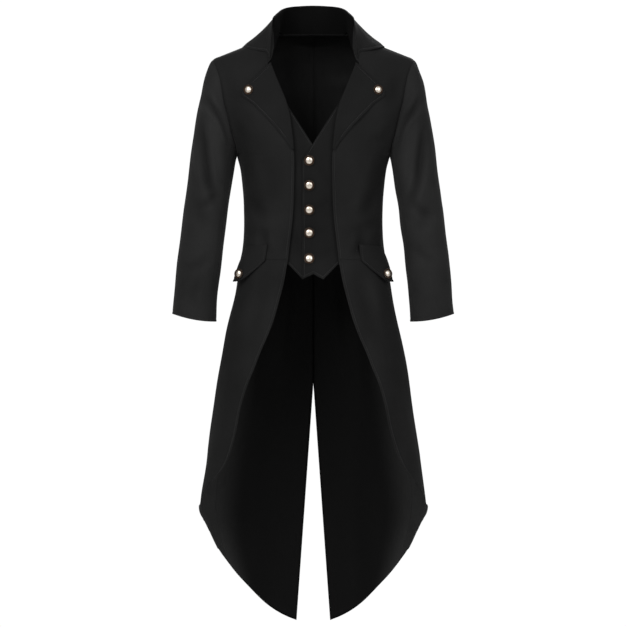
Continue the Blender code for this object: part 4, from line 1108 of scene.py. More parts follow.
def satin_lining(name, colour, roughness, painted_light_colour):
    """Twilled viscose satin: smooth and dark, with fine ribs that stretch the light into soft bands.

    Near its first edge it takes the tone of the facing, as light from the opening reaches it."""
    material, tree = new_material(name)
    uv = cloth_place(tree)
    ribs = add_node(tree, "ShaderNodeMapping", links={"Vector": uv, "Scale": (500, 30, 1)})
    grain = add_noise(tree, ribs.outputs["Vector"], 1.0, 3.0)
    # Painted light: towards its first edge the lining fades to the paler colour given
    across = add_node(tree, "ShaderNodeSeparateXYZ", links={0: uv})
    depth = add_range(tree, across.outputs["X"], (0.0, EDGE_LIGHT_REACH), (0.0, 1.0), "SMOOTHSTEP")
    blend = add_blend(tree, depth, painted_light_colour, colour)
    shade = add_range(tree, grain, (0.3, 0.7), (0.85, 1.15))
    add_surface(tree, {
        "Base Color": add_shade(tree, blend, shade), "Roughness": roughness,
        "Normal": add_bump(tree, grain, 0.15, 0.0003), "Specular IOR Level": 0.05,
    })
    return material


def cotton_thread(name, colour, roughness):
    """Mercerised cotton thread: twisted plies, coloured a little paler than the cloth it holds as a painted
    sheen.
    """
    material, tree = new_material(name)
    twist = add_noise(tree, object_place(tree), 900.0, 1.0)
    shade = add_range(tree, twist, (0.0, 1.0), (0.7, 1.3))
    add_surface(tree, {"Base Color": add_shade(tree, tuple(colour), shade), "Roughness": roughness})
    return material


def worn_brass(name, colour, tarnish, roughness):
    """Stamped brass with a pale worn plating: bright on the dome, brown where fingers never rub it."""
    material, tree = new_material(name)
    pits = add_noise(tree, object_place(tree), 520.0, 3.0, 0.6)
    hollow = add_node(tree, "ShaderNodeAttribute", {"attribute_name": "tarnish"})
    stain = add_sum(tree, pits, 0.55, hollow.outputs["Fac"])
    amount = add_range(tree, stain, (0.32, 1.1), (0.0, 1.0))
    add_surface(tree, {
        "Base Color": add_blend(tree, amount, colour, tarnish), "Metallic": 1.0,
        "Roughness": add_range(tree, amount, (0.0, 1.0), (roughness, roughness + 0.28)),
        "Normal": add_bump(tree, pits, 0.2, 0.0002),
    })
    return material


def studio_floor(name, colour, roughness):
    """Matt pale floor: no gloss, and it melts into the white of the room a few metres out."""
    material, tree = new_material(name)
    distance = add_node(tree, "ShaderNodeVectorMath", {"operation": "LENGTH"}, {0: object_place(tree)})
    melt = (FLOOR_RADIUS * 0.4, FLOOR_RADIUS * 0.95)
    fade = add_range(tree, distance.outputs["Value"], melt, (0.0, 1.0))
    shader = add_node(tree, "ShaderNodeBsdfPrincipled", links={
        "Base Color": (*colour, 1), "Roughness": roughness, "Specular IOR Level": 0.1,
    })
    clear = add_node(tree, "ShaderNodeBsdfTransparent")
    mixed = add_node(tree, "ShaderNodeMixShader", links={
        0: fade, 1: shader.outputs["BSDF"], 2: clear.outputs["BSDF"],
    })
    add_node(tree, "ShaderNodeOutputMaterial", links={"Surface": mixed.outputs["Shader"]})
    return material


def white_room(name, strength):
    """World that looks white to the camera and lights the coat more gently."""
    world = bpy.data.worlds.new(name)
    world.use_nodes = True
    tree = world.node_tree
    tree.nodes.clear()
    path = add_node(tree, "ShaderNodeLightPath")
    seen = add_range(tree, path.outputs["Is Camera Ray"], (0.0, 1.0), (strength, WHITE_SEEN))
    air = add_node(tree, "ShaderNodeBackground", links={"Color": (1, 1, 1, 1), "Strength": seen})
    add_node(tree, "ShaderNodeOutputWorld", links={"Surface": air.outputs["Background"]})
    return world


def cloth_of(finish):
    """Material of a finish, made once and then shared."""
    name = MATERIAL_NAMES[finish]
    if name in bpy.data.materials:
        return bpy.data.materials[name]
    colours = bpy.context.scene.tailcoat_colours
    roughness = FINISHES[finish].roughness
    if finish == "lining":
        return satin_lining(name, colours.lining, roughness, colours.lining)
    if finish == "tail_lining":
        return satin_lining(name, colours.tail_lining, roughness, colours.facing)
    if finish == "melton":
        return collar_melton_painted_shade(name, colours.melton, roughness)
    if finish == "thread":
        return cotton_thread(name, colours.thread, roughness)
    if finish == "pale_brass":
        return worn_brass(name, colours.pale_brass, colours.tarnish, roughness)
    if finish == "waistcoat_wool":
        return wool_cloth(name, colours.waistcoat_wool, roughness, thread_mm=1.8, nap_bump=0.25)
    return wool_cloth(name, getattr(colours, finish), roughness, thread_mm=2.4, nap_bump=0.4)


def bodice_pieces(side):
    """Front, back and back lining of one side."""
    at = stations(len(BODICE_ROWS_Z) + len(ARMHOLE_ANGLES), BODICE_PER_STEP)
    across = shares(BODICE_ACROSS)
    wool, lining, melton = cloth_of("wool"), cloth_of("lining"), cloth_of("melton")
    for face in ("front", "back"):
        grid = bodice_grid(face, at, across)
        normals = grid_normals(grid, from_axis(grid))
        distance = edge_distances(grid)
        above_armpit = (at > len(BODICE_ROWS_Z))[:, None] * FAR
        normals = across_seam(normals, distance["first_row"], 2)
        normals = across_seam(normals, distance["last_row"], 1)
        normals = across_seam(normals, distance["last_column"] + above_armpit, 1)
        seams = ["first_row", "last_row", "last_column"]
        edges = ["first_column"] if face == "front" else []
        if face == "back":
            seams.append("first_column")
            normals = across_seam(normals, distance["first_column"], 0)
        relief = dress(grid, normals, side, BODICE_CREASES, "bodice", seams=seams, edges=edges)
        outer = grid + normals * relief[..., None]
        ARMHOLE_EDGES[face, side] = (at, outer[:, -1], normals[:, -1])
        inner = outer - normals * CLOTH
        facing = ("first_column",) if face == "front" else ()
        lined = lined_inside(grid, facing).astype(int)
        # The top rows inside the back take the near-black felted cloth as painted shade
        if face == "back":
            lined[-PAINTED_SHADE_ROWS:] = 2
        piece = cloth_shell(f"{face}_panel_{side}", outer, inner, side, (wool, lining, melton), lined,
                            hollow=relief, seams=seams)
        declare(f"{face}_{side}")
        if face == "front":
            rows = (grid[..., 2] < ROLL_END_Z).all(axis=1)
            stitch_edge("front_edge", side, outer[rows], normals[rows], "first_column")
        else:
            inside = inner[:-1, 2:] - normals[:-1, 2:] * (LINING_GAP + SEAM_GAP)
            inside[:, 0, 0] = 0
            under = normals[:-1, 2:] * LINING
            piece = cloth_shell(f"back_lining_{side}", inside, inside - under, side, (lining,),
                                seams=("first_column",))
            declare(f"lining_back_{side}")


def sleeve_grid(around_at, share):
    """Rings of the sleeve from the armhole to the cuff.

    A ring runs from its outer point down the front to its inner point and up the back:
    along the line between the two by cosine, and to front and back by sine."""
    angle = np.sort(armhole_rows()[0])
    last = len(angle) - 1
    around = np.where(
        around_at <= last, eased(angle, np.minimum(around_at, last)),
        2 * math.pi - eased(angle, np.clip(2 * last - around_at, 0, last)),
    )
    knots = column(SLEEVE, "share")
    size = {name: smooth(knots, column(SLEEVE, name), share)[:, None] for name in Sleeve._fields}
    cosine = np.cos(around)[None, :]
    bow = np.abs(np.sin(around)) ** SLEEVE_BOW_POWER
    reach = np.where(np.sin(around) >= 0, -size["front"], size["back"])
    x = (size["outer_x"] + size["inner_x"]) / 2 + (size["outer_x"] - size["inner_x"]) / 2 * cosine
    z = (size["outer_z"] + size["inner_z"]) / 2 + (size["outer_z"] - size["inner_z"]) / 2 * cosine
    z = z - CUFF_SAG * share[:, None] ** 4 * np.sin(around)[None, :] ** 2
    grid = np.stack([x, size["centre_y"] + reach * bow[None, :], z], axis=2)
    first_arm_row = len(BODICE_ROWS_Z)
    front_at = first_arm_row + last - np.minimum(around_at, last)
    back_at = first_arm_row + np.maximum(around_at - last, 0)
    end = np.array([1.0])
    front_edge = bodice_grid("front", np.sort(front_at), end)[::-1, 0]
    back_edge = bodice_grid("back", np.sort(back_at), end)[:, 0]
    edge = np.where((around_at <= last)[:, None], front_edge, back_edge)
    blend = np.clip(1 - share / FIRST_SLEEVE_STEP, 0, 1)[:, None, None]
    return grid + (edge - grid[0]) * blend


def ring_normals(grid):
    """Normals of closed rings whose last point repeats the first, pointing out of the sleeve."""
    ring = grid[:, :-1]
    around = np.roll(ring, -1, axis=1) - np.roll(ring, 1, axis=1)
    normals = unit(np.cross(np.gradient(ring, axis=0), around))
    if np.sum(normals * (ring - ring.mean(axis=1, keepdims=True))) < 0:
        normals = -normals
    return np.concatenate([normals, normals[:, :1]], axis=1)


def armhole_edge(around, side):
    """Points and normals of the sewn armhole at places round the sleeve's first ring."""
    last = len(ARMHOLE_ANGLES) - 1
    first_row = len(BODICE_ROWS_Z)
    front_rows = first_row + last - np.minimum(around, last)
    back_rows = first_row + np.maximum(around - last, 0)
    found = []
    for part in (1, 2):
        ring = []
        for axis in range(3):
            front, back = ARMHOLE_EDGES["front", side], ARMHOLE_EDGES["back", side]
            on_front = np.interp(front_rows, front[0], front[part][:, axis])
            on_back = np.interp(back_rows, back[0], back[part][:, axis])
            ring.append(np.where(around <= last, on_front, on_back))
        found.append(np.stack(ring, axis=1))
    return found[0], unit(found[1])


def sleeve_relief(grid, normals, around, side):
    """Relief of the whole sleeve: creases and waves, gathers over the cap, its seams and its cuff."""
    sizes = bpy.context.scene.tailcoat_sizes
    depth = sizes.seam_depth / MM
    distance = edge_distances(grid)
    relief = crease_relief(grid, normals, SLEEVE_CREASES, side) * sizes.crease_strength
    soft = waves(grid, "sleeve", side)
    soft[:, -1] = soft[:, 0]
    from_armhole = distance["first_row"]
    relief = (relief + soft) * (1 - np.exp(-(from_armhole / ARMHOLE_HOLD) ** 2))
    gathers = np.cos(around * 2 * math.pi / GATHER_STEP)[None, :]
    over_cap = np.clip(np.cos(around * math.pi / (len(ARMHOLE_ANGLES) - 1)), 0, 1)[None, :]
    near_cap = np.exp(-((from_armhole - GATHER_PLACE) / GATHER_REACH) ** 2)
    relief += GATHER_HEIGHT * near_cap * gathers * over_cap
    relief += seam_relief(from_armhole, depth)
    travel = distance["first_column"]
    for seam in (FRONT_SLEEVE_SEAM, BACK_SLEEVE_SEAM):
        at_seam = np.argmin(np.abs(around - seam))
        from_seam = np.abs(travel - travel[:, at_seam:at_seam + 1])
        relief += seam_relief(from_seam, SLEEVE_SEAM_SHARE * depth)
    return relief + edge_relief(distance["last_row"], CUFF_EDGE_SHARE * depth)


def sleeve_pieces(side):
    """Top and under sleeve of one side, creased as one tube and then parted at their seams."""
    coarse = 2 * (len(ARMHOLE_ANGLES) - 1)
    near = np.array(NEAR_EDGE)
    extra = [seam + way * near for seam in (FRONT_SLEEVE_SEAM, BACK_SLEEVE_SEAM) for way in (-1, 1)]
    around = np.concatenate([np.linspace(0, coarse, coarse * SLEEVE_PER_STEP + 1)] + extra)
    around = np.unique(np.round(around, 4))
    grid = sleeve_grid(around, shares(SLEEVE_DOWN))
    normals = ring_normals(grid)
    relief = sleeve_relief(grid, normals, around, side)
    from_armhole = edge_distances(grid)["first_row"]
    outer = grid + normals * relief[..., None]
    rim, rim_normals = armhole_edge(around, side)
    weight = np.exp(-(from_armhole / ARMHOLE_JOIN) ** 2)[..., None]
    outer = outer + (rim - outer[0]) * weight
    normals = unit(normals * (1 - weight) + rim_normals * weight)
    inner = outer - normals * CLOTH
    front_seam = np.argmin(np.abs(around - FRONT_SLEEVE_SEAM))
    back_seam = np.argmin(np.abs(around - BACK_SLEEVE_SEAM))
    top = np.concatenate([np.arange(back_seam, len(around) - 1), np.arange(front_seam + 1)])
    under = np.arange(front_seam, back_seam + 1)
    # The sleeves take the body wool painted paler, as painted light
    materials = (cloth_of("sleeve_wool"), cloth_of("lining"))
    for name, columns in (("top_sleeve", top), ("under_sleeve", under)):
        part = outer[:, columns]
        lined = lined_inside(part, ("last_row",))
        piece = cloth_shell(f"{name}_cloth_{side}", part, inner[:, columns], side, materials, lined,
                            hollow=relief[:, columns], seams=("first_row", "first_column", "last_column"))
        declare(f"{name}_{side}")


def skirt_edges(share):
    """Left and right ends of the skirt's rows: along the cutaway, and down the back to the tip."""
    fine_z = np.linspace(WAIST_Z, CORNER_Z, 400)
    fine_x = smooth(column(CUTAWAY, "z")[::-1], column(CUTAWAY, "x")[::-1], fine_z)
    fine_x = np.minimum(fine_x, trunk_size(fine_z, "half_width"))
    fine_angle = np.arcsin(np.clip(fine_x / trunk_size(fine_z, "half_width"), 0, 1))
    fine_y = SIDE_SEAM_Y - trunk_size(fine_z, "front_depth") * np.cos(fine_angle)
    steps = np.sqrt(np.diff(fine_x) ** 2 + np.diff(fine_y) ** 2 + np.diff(fine_z) ** 2)
    travel = np.concatenate([[0], np.cumsum(steps)])
    cut_z = np.interp(share * travel[-1], travel, fine_z)
    cut_angle = np.interp(share * travel[-1], travel, fine_angle)
    back_z = WAIST_Z + (TIP_TAIL_Z - WAIST_Z) * share
    vent_x = VENT_HALF_WIDTH * np.clip((VENT_TOP_Z - back_z) / (VENT_TOP_Z - TIP_TAIL_Z), 0, 1)
    back_angle = math.pi - np.arcsin(vent_x / trunk_size(back_z, "half_width"))
    return cut_z, cut_angle, back_z, back_angle


def hem_drop(angle):
    """Share of the way from the corner's height to the tip's, by angle round the hem."""
    z = smooth(column(HEM, "angle"), column(HEM, "z"), np.degrees(angle))
    return np.clip((z - CORNER_Z) / (TIP_TAIL_Z - CORNER_Z), 0, 1)


def skirt_grid(share, width):
    """Points of a skirt: rows from the waist to the hem, columns from the front edge round to the back.

    Each row goes round an ellipse that widens downwards, and sinks from the cutaway's height
    to the height at the vent by the hem's own curve. Flutes push it in and out."""
    cut_z, cut_angle, back_z, back_angle = skirt_edges(share)
    width = width[None, :]
    angle = cut_angle[:, None] + (back_angle - cut_angle)[:, None] * width
    hem_angle = math.pi / 2 + (back_angle[-1] - math.pi / 2) * width
    z = cut_z[:, None] + (back_z - cut_z)[:, None] * hem_drop(hem_angle)
    reach = np.sin(angle)
    depth_share = np.sign(np.cos(angle)) * section_share(reach, z)
    depth = np.where(depth_share > 0, trunk_size(z, "front_depth"), trunk_size(z, "back_depth"))
    grid = np.stack([trunk_size(z, "half_width") * reach, SIDE_SEAM_Y - depth * depth_share, z], axis=2)
    out = unit(from_axis(grid))
    fall = np.clip((WAIST_Z - z) / (WAIST_Z - CORNER_Z), 0, 1)
    flutes = np.zeros_like(z)
    for flute in FLUTES:
        flutes += flute.depth * np.exp(-((np.degrees(angle) - flute.angle) / flute.width) ** 2)
    from_vent = np.clip((180 - np.degrees(angle)) / VENT_HOLD_ANGLE, 0, 1)
    from_cutaway = np.clip(np.degrees(angle - cut_angle[:, None]) / CUTAWAY_HOLD_ANGLE, 0, 1)
    return grid + out * (FLUTE_SHARE * flutes * fall * from_vent * from_cutaway)[..., None]


def skirt_pieces(side):
    """Tail of one side, from the waist to its point, with the lining inside it."""
    share, width = shares(SKIRT_DOWN), shares(SKIRT_ACROSS)
    grid = skirt_grid(share, width)
    normals = grid_normals(grid, from_axis(grid))
    distance = edge_distances(grid)
    above_vent = grid[:, -1, 2] > VENT_TOP_Z
    normals = across_seam(normals, distance["first_row"], 2)
    normals = across_seam(normals, distance["last_column"] + FAR * ~above_vent[:, None], 0)
    relief = dress(grid, normals, side, SKIRT_CREASES, "skirt", seams=("first_row",),
                   edges=("first_column", "last_row"), held=("last_column",))
    opened = np.clip((VENT_TOP_Z - grid[:, -1:, 2]) / VENT_FADE, 0, 1)
    depth = bpy.context.scene.tailcoat_sizes.seam_depth / MM
    relief += seam_relief(distance["last_column"], depth) * (1 - opened)
    relief += edge_relief(distance["last_column"], depth) * opened
    outer = grid + normals * relief[..., None]
    outer[above_vent, -1, 0] = 0
    inner = outer - normals * CLOTH
    inner[above_vent, -1, 0] = 0
    # Inside the tails the facing is painted paler as light, and past DARK_COLUMN the cloth takes the darker
    # tail lining as painted shade
    lined = np.ones((len(share) - 1, len(width) - 1), int)
    lined[:, DARK_COLUMN:] = 2
    materials = (cloth_of("wool"), cloth_of("facing"), cloth_of("tail_lining"))
    piece = cloth_shell(f"tail_{side}", outer, inner, side, materials, lined, hollow=relief,
                        seams=("first_row",))
    declare(f"skirt_{side}")
    stitch_edge("cutaway", side, outer, normals, "first_column")
    stitch_edge("hem", side, outer, normals, "last_row")
    below = ~above_vent
    stitch_edge("vent", side, outer[below], normals[below], "last_column")
    covered = (slice(2, -4), slice(LINING_COLUMN, -3))
    thin = np.exp(-np.arange(inner[covered].shape[1]) / THIN_COLUMNS)[None, :, None]
    gap = THINNEST_GAP + (LINING_GAP - 0.05) * (1 - thin)
    inside = inner[covered] - normals[covered] * gap
    under = normals[covered] * LINING * (1 - (1 - THINNEST_SHARE) * thin)
    lining = cloth_shell(f"tail_lining_{side}", inside, inside - under, side, (cloth_of("tail_lining"),))
    declare(f"lining_tail_{side}")


def collar_seam():
    """Neck seam from its front end to the centre back: its points, the way on past it, and its normals.

    The back's few stations are eased to twice as many."""
    neck = len(BODICE_ROWS_Z) + NECKLINE_START + np.arange(len(BACK_NECK_X), dtype=float)
    across = np.linspace(0, 1, 11)
    front, back = (bodice_grid(face, neck, across) for face in ("front", "back"))
    half_steps = np.arange(1, 2 * len(back) - 1) / 2
    pairs = (
        (front[:, 0], back[:, 0]),
        (unit(front[:, 0] - front[:, 1]), unit(back[:, 0] - back[:, 1])),
        (grid_normals(front, from_axis(front))[:, 0], grid_normals(back, from_axis(back))[:, 0]),
    )
    return [np.concatenate([on_front, eased(on_back[::-1], half_steps)]) for on_front, on_back in pairs]


def fall_edge():
    """Edge of the fall where it lies on the fronts and the back, and on the ridge of the shoulder."""
    lying = FALL_GAP + CLOTH
    edge = np.array([place(spot.face, np.array([spot.x]), spot.z, lying)[0][0] for spot in FALL_EDGE])
    on_ridge = len(BACK_NECK_X) - 1
    ridge_x = FALL_EDGE[on_ridge].x
    edge[on_ridge] = (ridge_x, SHOULDER_Y, TIP_Z + SHOULDER_SLOPE * (TIP_X - ridge_x) + lying)
    edge[-1][0] = 0
    return edge


def collar_grid():
    """Face and hidden side of the collar from the right front end round to the left.

    At each station a straight stand leans in to the fold, turns over it on a round, and
    falls in a shallow curve to the fall's edge on the shoulder."""
    up = np.array([0, 0, 1.0])
    seam, rise, body_depth = collar_seam()
    fold = np.stack([column(FOLD, name) for name in Fold._fields], axis=1)
    edge = fall_edge()
    outward = edge - fold
    outward[:, 2] = 0
    outward = unit(outward)
    plain = np.gradient(seam, axis=0)
    plain[:, 2] = 0
    square = unit(np.cross(plain, up))
    square *= np.sign(np.sum(square * outward, axis=1, keepdims=True))
    seam_depth = unit(body_depth + square)
    seam_depth[-1] = unit(seam_depth[-1] * np.array([0, 1, 1]))
    start = seam + rise * SEAM_GAP / 2
    centre = fold - up * FOLD_RADIUS
    inner_side, outer_side = centre - outward * FOLD_RADIUS, centre + outward * FOLD_RADIUS
    foot = start - CLOTH * seam_depth
    hidden, face = [start], [foot]
    climb = (inner_side - foot) / STAND_STEPS
    already = STAND_LEAN_RATE * np.sum(climb * rise, axis=1, keepdims=True)
    over_panel = np.maximum(CLEAR_OF_PANEL - already, 0)
    for step in range(1, STAND_STEPS):
        share = step / STAND_STEPS
        lean = min(1.0, STAND_LEAN_RATE * share) * (1 - share)
        point = foot + (inner_side - foot) * share + rise * over_panel * lean
        face.append(point)
        hidden.append(point + outward * CLOTH)
    for step in range(ROLL_STEPS + 1):
        turn = math.pi * step / ROLL_STEPS
        spoke = -outward * math.cos(turn) + up * math.sin(turn)
        face.append(centre + spoke * FOLD_RADIUS)
        hidden.append(centre + spoke * (FOLD_RADIUS - CLOTH))
    hollow = column(FALL_EDGE, "hollow")[:, None]
    bend = (outer_side + edge) / 2 - (outward + up) * hollow
    for step in range(1, FALL_STEPS + 1):
        t = step / FALL_STEPS
        point = (1 - t) ** 2 * outer_side + 2 * t * (1 - t) * bend + t ** 2 * edge
        slope = unit((1 - t) * (bend - outer_side) + t * (edge - bend))
        square = outward * -slope[:, 2:3] + up * np.sum(slope * outward, axis=1, keepdims=True)
        face.append(point)
        hidden.append(point - CLOTH * unit(square))
    flip = np.array([-1.0, 1.0, 1.0])
    sides = []
    for lines in (face, hidden):
        lines = np.stack(lines, axis=1)
        whole = np.concatenate([lines * flip, lines[-2::-1]])
        sides.append(eased(whole, stations(len(whole), COLLAR_PER_STEP)))
    return sides


def collar_piece():
    """Collar in one piece, its fall ruffled a little where it lies on the shoulders."""
    face, hidden = collar_grid()
    normals = unit(face - hidden)
    turn = np.arange(face.shape[1]) / (face.shape[1] - 1)
    fallen = np.clip((turn - FALL_START) / FALL_FADE, 0, 1)[None, :]
    relief = waves(face, "collar") * fallen
    distance = edge_distances(face)
    ridge = np.exp(-((face[..., 1] - SHOULDER_Y) / RIDGE_REACH) ** 2)
    depth = bpy.context.scene.tailcoat_sizes.seam_depth / MM
    for edge in ("first_row", "last_row"):
        relief += edge_relief(distance[edge], depth)
    relief += edge_relief(distance["last_column"], depth) * (1 - CALM_RIDGE * ridge)
    shift = normals * relief[..., None]
    near_edge = normals * np.exp(-(distance["last_column"] / PRESS_REACH) ** 2)[..., None]
    pressed = face - near_edge * (PRESSED + PRESSED_RIDGE * ridge)[..., None]
    hidden = hidden - near_edge * PRESSED_HIDDEN * ridge[..., None]
    # The stand's inner face and the first half of the roll take the near-black felted cloth as painted shade
    lined_face = np.zeros((face.shape[0] - 1, face.shape[1] - 1), int)
    lined_face[:, :STAND_STEPS + ROLL_STEPS // 2 - 1] = 1
    materials = (cloth_of("wool"), cloth_of("melton"))
    piece = cloth_shell("collar_cloth", pressed + shift, hidden + shift, "left", materials, None, lined_face)
    declare("collar")
    stitch_edge("collar_fall", "left", pressed + shift, normals, "last_column", (0.005, 0.995))


def lapel_section(width):
    """Both sides of the lapel across each row: distance from the roll line and height over the front.

    The roll turns the cloth over, and from there the face eases down to the edge. Where the
    lapel is narrow its roll shrinks with it."""
    size = np.minimum(1.0, width / FULL_WIDTH)
    roll = np.array(ROLL_SECTION)
    high = roll[-1, 1]
    steps = np.arange(1, len(FACE_SHARES) + 1)[None, :, None]
    flat_share = np.array(FACE_SHARES)[None, :, None]
    reach = np.maximum(width * flat_share, roll[-1, 0] * size + LEAST_STEP * steps)
    ease = (flat_share - FACE_SHARES[0] + FIRST_EASE) / (1 - FACE_SHARES[0] + FIRST_EASE)
    height = np.broadcast_to(high + (EDGE_HEIGHT - high) * ease, reach.shape)
    roll_height = np.broadcast_to(roll[None, :, 1:], (len(width), len(roll), 1))
    rolled = np.concatenate([roll[None, :, :1] * size, roll_height], axis=2)
    section = np.concatenate([rolled, np.concatenate([reach, height], axis=2)], axis=1)
    columns = stations(section.shape[1], LAPEL_PER_COLUMN)
    section = np.swapaxes(eased(np.swapaxes(section, 0, 1), columns), 0, 1)
    slope = unit(np.gradient(section, axis=1))
    square = np.stack([slope[..., 1] * size[..., 0], -slope[..., 0]], axis=2)
    return section, section + square * CLOTH


def lapel_piece(side):
    """Lapel rolled over the front edge, widest at its point and running out to nothing below."""
    table = np.stack([column(LAPEL, name) for name in LapelRow._fields], axis=1)
    table = eased(table, stations(len(LAPEL), LAPEL_PER_ROW))
    start, end = table[:, None, :2], table[:, None, 2:]
    width = np.linalg.norm(end - start, axis=2, keepdims=True)
    grids = []
    for half in lapel_section(width):
        spots = start + (end - start) / width * half[..., :1]
        grids.append(place("front", spots[..., 0], spots[..., 1], half[..., 1])[0])
    face, back = grids
    normals = unit(face - back)
    distance = edge_distances(face)
    sizes = bpy.context.scene.tailcoat_sizes
    from_roll = np.clip(distance["first_column"] / FADE_WIDTH, 0, 1)
    relief = waves(face, "lapel", side) * from_roll
    for edge in ("first_row", "last_column"):
        wide = np.clip(width[..., 0] / FADE_WIDTH, 0, 1)
        relief += edge_relief(distance[edge], sizes.seam_depth / MM) * wide
    shift = normals * relief[..., None]
    # The lapels' colour is darkened all over as painted shade, as in a shallow crease
    piece = cloth_shell(f"lapel_cloth_{side}", face + shift, back + shift, side, (cloth_of("wool"),),
                        hollow=np.full(face.shape[:2], -LAPEL_PAINTED_SHADE))
    declare(f"lapel_{side}")
    sewn = width[:, 0, 0] > STITCHED_WIDTH
    stitch_edge("lapel", side, (face + shift)[sewn], normals[sewn], "last_column")
    stitch_edge("lapel_top", side, face + shift, normals, "first_row", (0.12, 0.98))


def vest_height(x, lapped_under):
    """How far below the coat's surface a waistcoat front lies."""
    depths = (VEST_SINK, VEST_SINK - VEST_RISE, CLOTH + VEST_GAP)
    sink = -np.interp(np.abs(x), VEST_RISE_X, depths)
    under = np.interp(x, VEST_LAP_X, (0, 1)) * (VEST_CLOTH + VEST_LAP_GAP) if lapped_under else 0
    return sink - under


def vest_piece(side):
    """Waistcoat front from its V and lap edge to under the coat, with a pointed hem."""
    under = side == "right"
    hem = VEST_HEM_RIGHT if under else VEST_HEM_LEFT
    ends = (-VEST_REACH, VEST_LAP_RIGHT) if under else (VEST_LAP_LEFT, VEST_REACH)
    x = ends[0] + (ends[1] - ends[0]) * shares(VEST_ACROSS)
    bottom = np.interp(x, column(hem, "x"), column(hem, "z"))
    if under:
        top = VEST_V_Z + VEST_V_SLOPE * np.abs(VEST_V_X - x) * np.where(x > VEST_V_X, -1, 1)
    else:
        top = VEST_V_Z + VEST_V_SLOPE * (x - VEST_V_X)
    z = bottom[None, :] + (top - bottom)[None, :] * shares(VEST_DOWN)[:, None]
    spread = np.broadcast_to(x[None, :], z.shape)
    grid, normals = place("front", spread, z, vest_height(spread, under))
    lap = "last_column" if under else "first_column"
    held = "first_column" if under else "last_column"
    edges = ("first_row", "last_row", lap)
    relief = dress(grid, normals, side, VEST_CREASES, "waistcoat", edges=edges, held=(held,))
    relief *= VEST_CALM
    for button_z in VEST_BUTTONS_Z:
        gap = np.hypot(grid[..., 0] - VEST_BUTTON_X, grid[..., 2] - button_z)
        relief -= BUTTON_PULL * np.exp(-(gap / BUTTON_PULL_REACH) ** 2)
    outer = grid + normals * relief[..., None]
    materials = (cloth_of("waistcoat_wool"), cloth_of("lining"))
    inner = outer - normals * VEST_CLOTH
    # Crease depth of the waistcoat, scaled up, darkens its colour in the creases as painted shade
    piece = cloth_shell(f"waistcoat_cloth_{side}", outer, inner, "left", materials, lined_inside(grid),
                        hollow=VEST_PAINTED_SHADE * relief)
    declare(f"waistcoat_{side}")
    stitch_edge("waistcoat_hem", "left", outer, normals, "first_row")
    stitch_edge("waistcoat_neck", "left", outer, normals, "last_row")
    if not under:
        stitch_edge("waistcoat_lap", "left", outer, normals, "first_column")


def flap_surface(count_rows, count_columns):
    """Flap's face over the hip, standing off it by the square of the share across."""
    knots = np.arange(len(FLAP), dtype=float)
    at = shares(count_columns) * (len(FLAP) - 1)
    angle = np.radians(smooth(knots, column(FLAP, "angle"), at))
    top, bottom = smooth(knots, column(FLAP, "top_z"), at), smooth(knots, column(FLAP, "bottom_z"), at)
    rows = shares(count_rows)[:, None]
    z = top + (bottom - top) * rows
    x = trunk_size(z, "half_width") * np.sin(angle)[None, :]
    across = (angle - angle[0]) / (angle[-1] - angle[0])
    stand = FLAP_STAND * across[None, :] ** 2 * rows
    return place("front", x, z, stand + LAY_GAP + CLOTH)


def flap_piece(side):
    """Pocket flap set into the waist, its point standing a little off the hip."""
    grid, _ = flap_surface(FLAP_DOWN, FLAP_ACROSS)
    normals = grid_normals(grid, from_axis(grid))
    edges = ("last_row", "first_column", "last_column")
    relief = dress(grid, normals, side, (), "flap", seams=("first_row",), edges=edges)
    outer = grid + normals * relief[..., None]
    inner = outer - normals * CLOTH
    materials = (cloth_of("wool"), cloth_of("lining"))
    piece = cloth_shell(f"flap_{side}", outer, inner, side, materials, lined_inside(grid, edges))
    declare(f"pocket_flap_{side}")
    for edge in edges:
        stitch_edge("flap", side, outer, normals, edge, (0.04, 0.96))


def button_place(node):
    """Foot, axis, radius and thickness of a button, measured on its node."""
    corners = np.array([tuple(vertex.co) for vertex in bpy.data.objects[node].data.vertices])
    middle = corners.mean(axis=0)
    axis = np.linalg.svd(corners - middle, full_matrices=False)[2][2]
    if axis @ np.array([middle[0], middle[1] - SIDE_SEAM_Y * MM, 0]) < 0:
        axis = -axis
    height_at = corners @ axis
    rise = height_at.max() - height_at.min()
    level = (corners - middle) - ((corners - middle) @ axis)[:, None] * axis
    radius = np.linalg.norm(level, axis=1).max()
    tilt = BUTTON_TILT if node.startswith("flap") else 0.0
    axis = unit(axis + np.array([0, -tilt, 0]))
    return middle - axis * rise * (0.5 - tilt), axis, radius, rise


def button_section():
    """Section of a button from the middle of its back to the top of its dome, and how tarnished it is.

    It has a flat back, a rounded rim, a groove inside that and a low dome, all in shares of the
    radius and the thickness. The groove and the back are the most tarnished."""
    turn = np.linspace(0, math.pi / 2, 12)
    rim = [(1 - RIM_ROUND * (1 - math.sin(a)), RIM_HEIGHT * (1 - math.cos(a))) for a in turn * 2]
    dome = [(DOME_RADIUS * math.cos(a), DOME_FOOT + (1 - DOME_FOOT) * math.sin(a)) for a in turn]
    tarnish = [1.0] * len(BUTTON_BACK) + [0.95 - 0.2 * math.sin(a) for a in turn] + list(GROOVE_TARNISH)
    tarnish += [(1 - math.sin(a)) ** 2 for a in turn]
    return np.array(list(BUTTON_BACK) + rim + list(BUTTON_GROOVE) + dome), tarnish


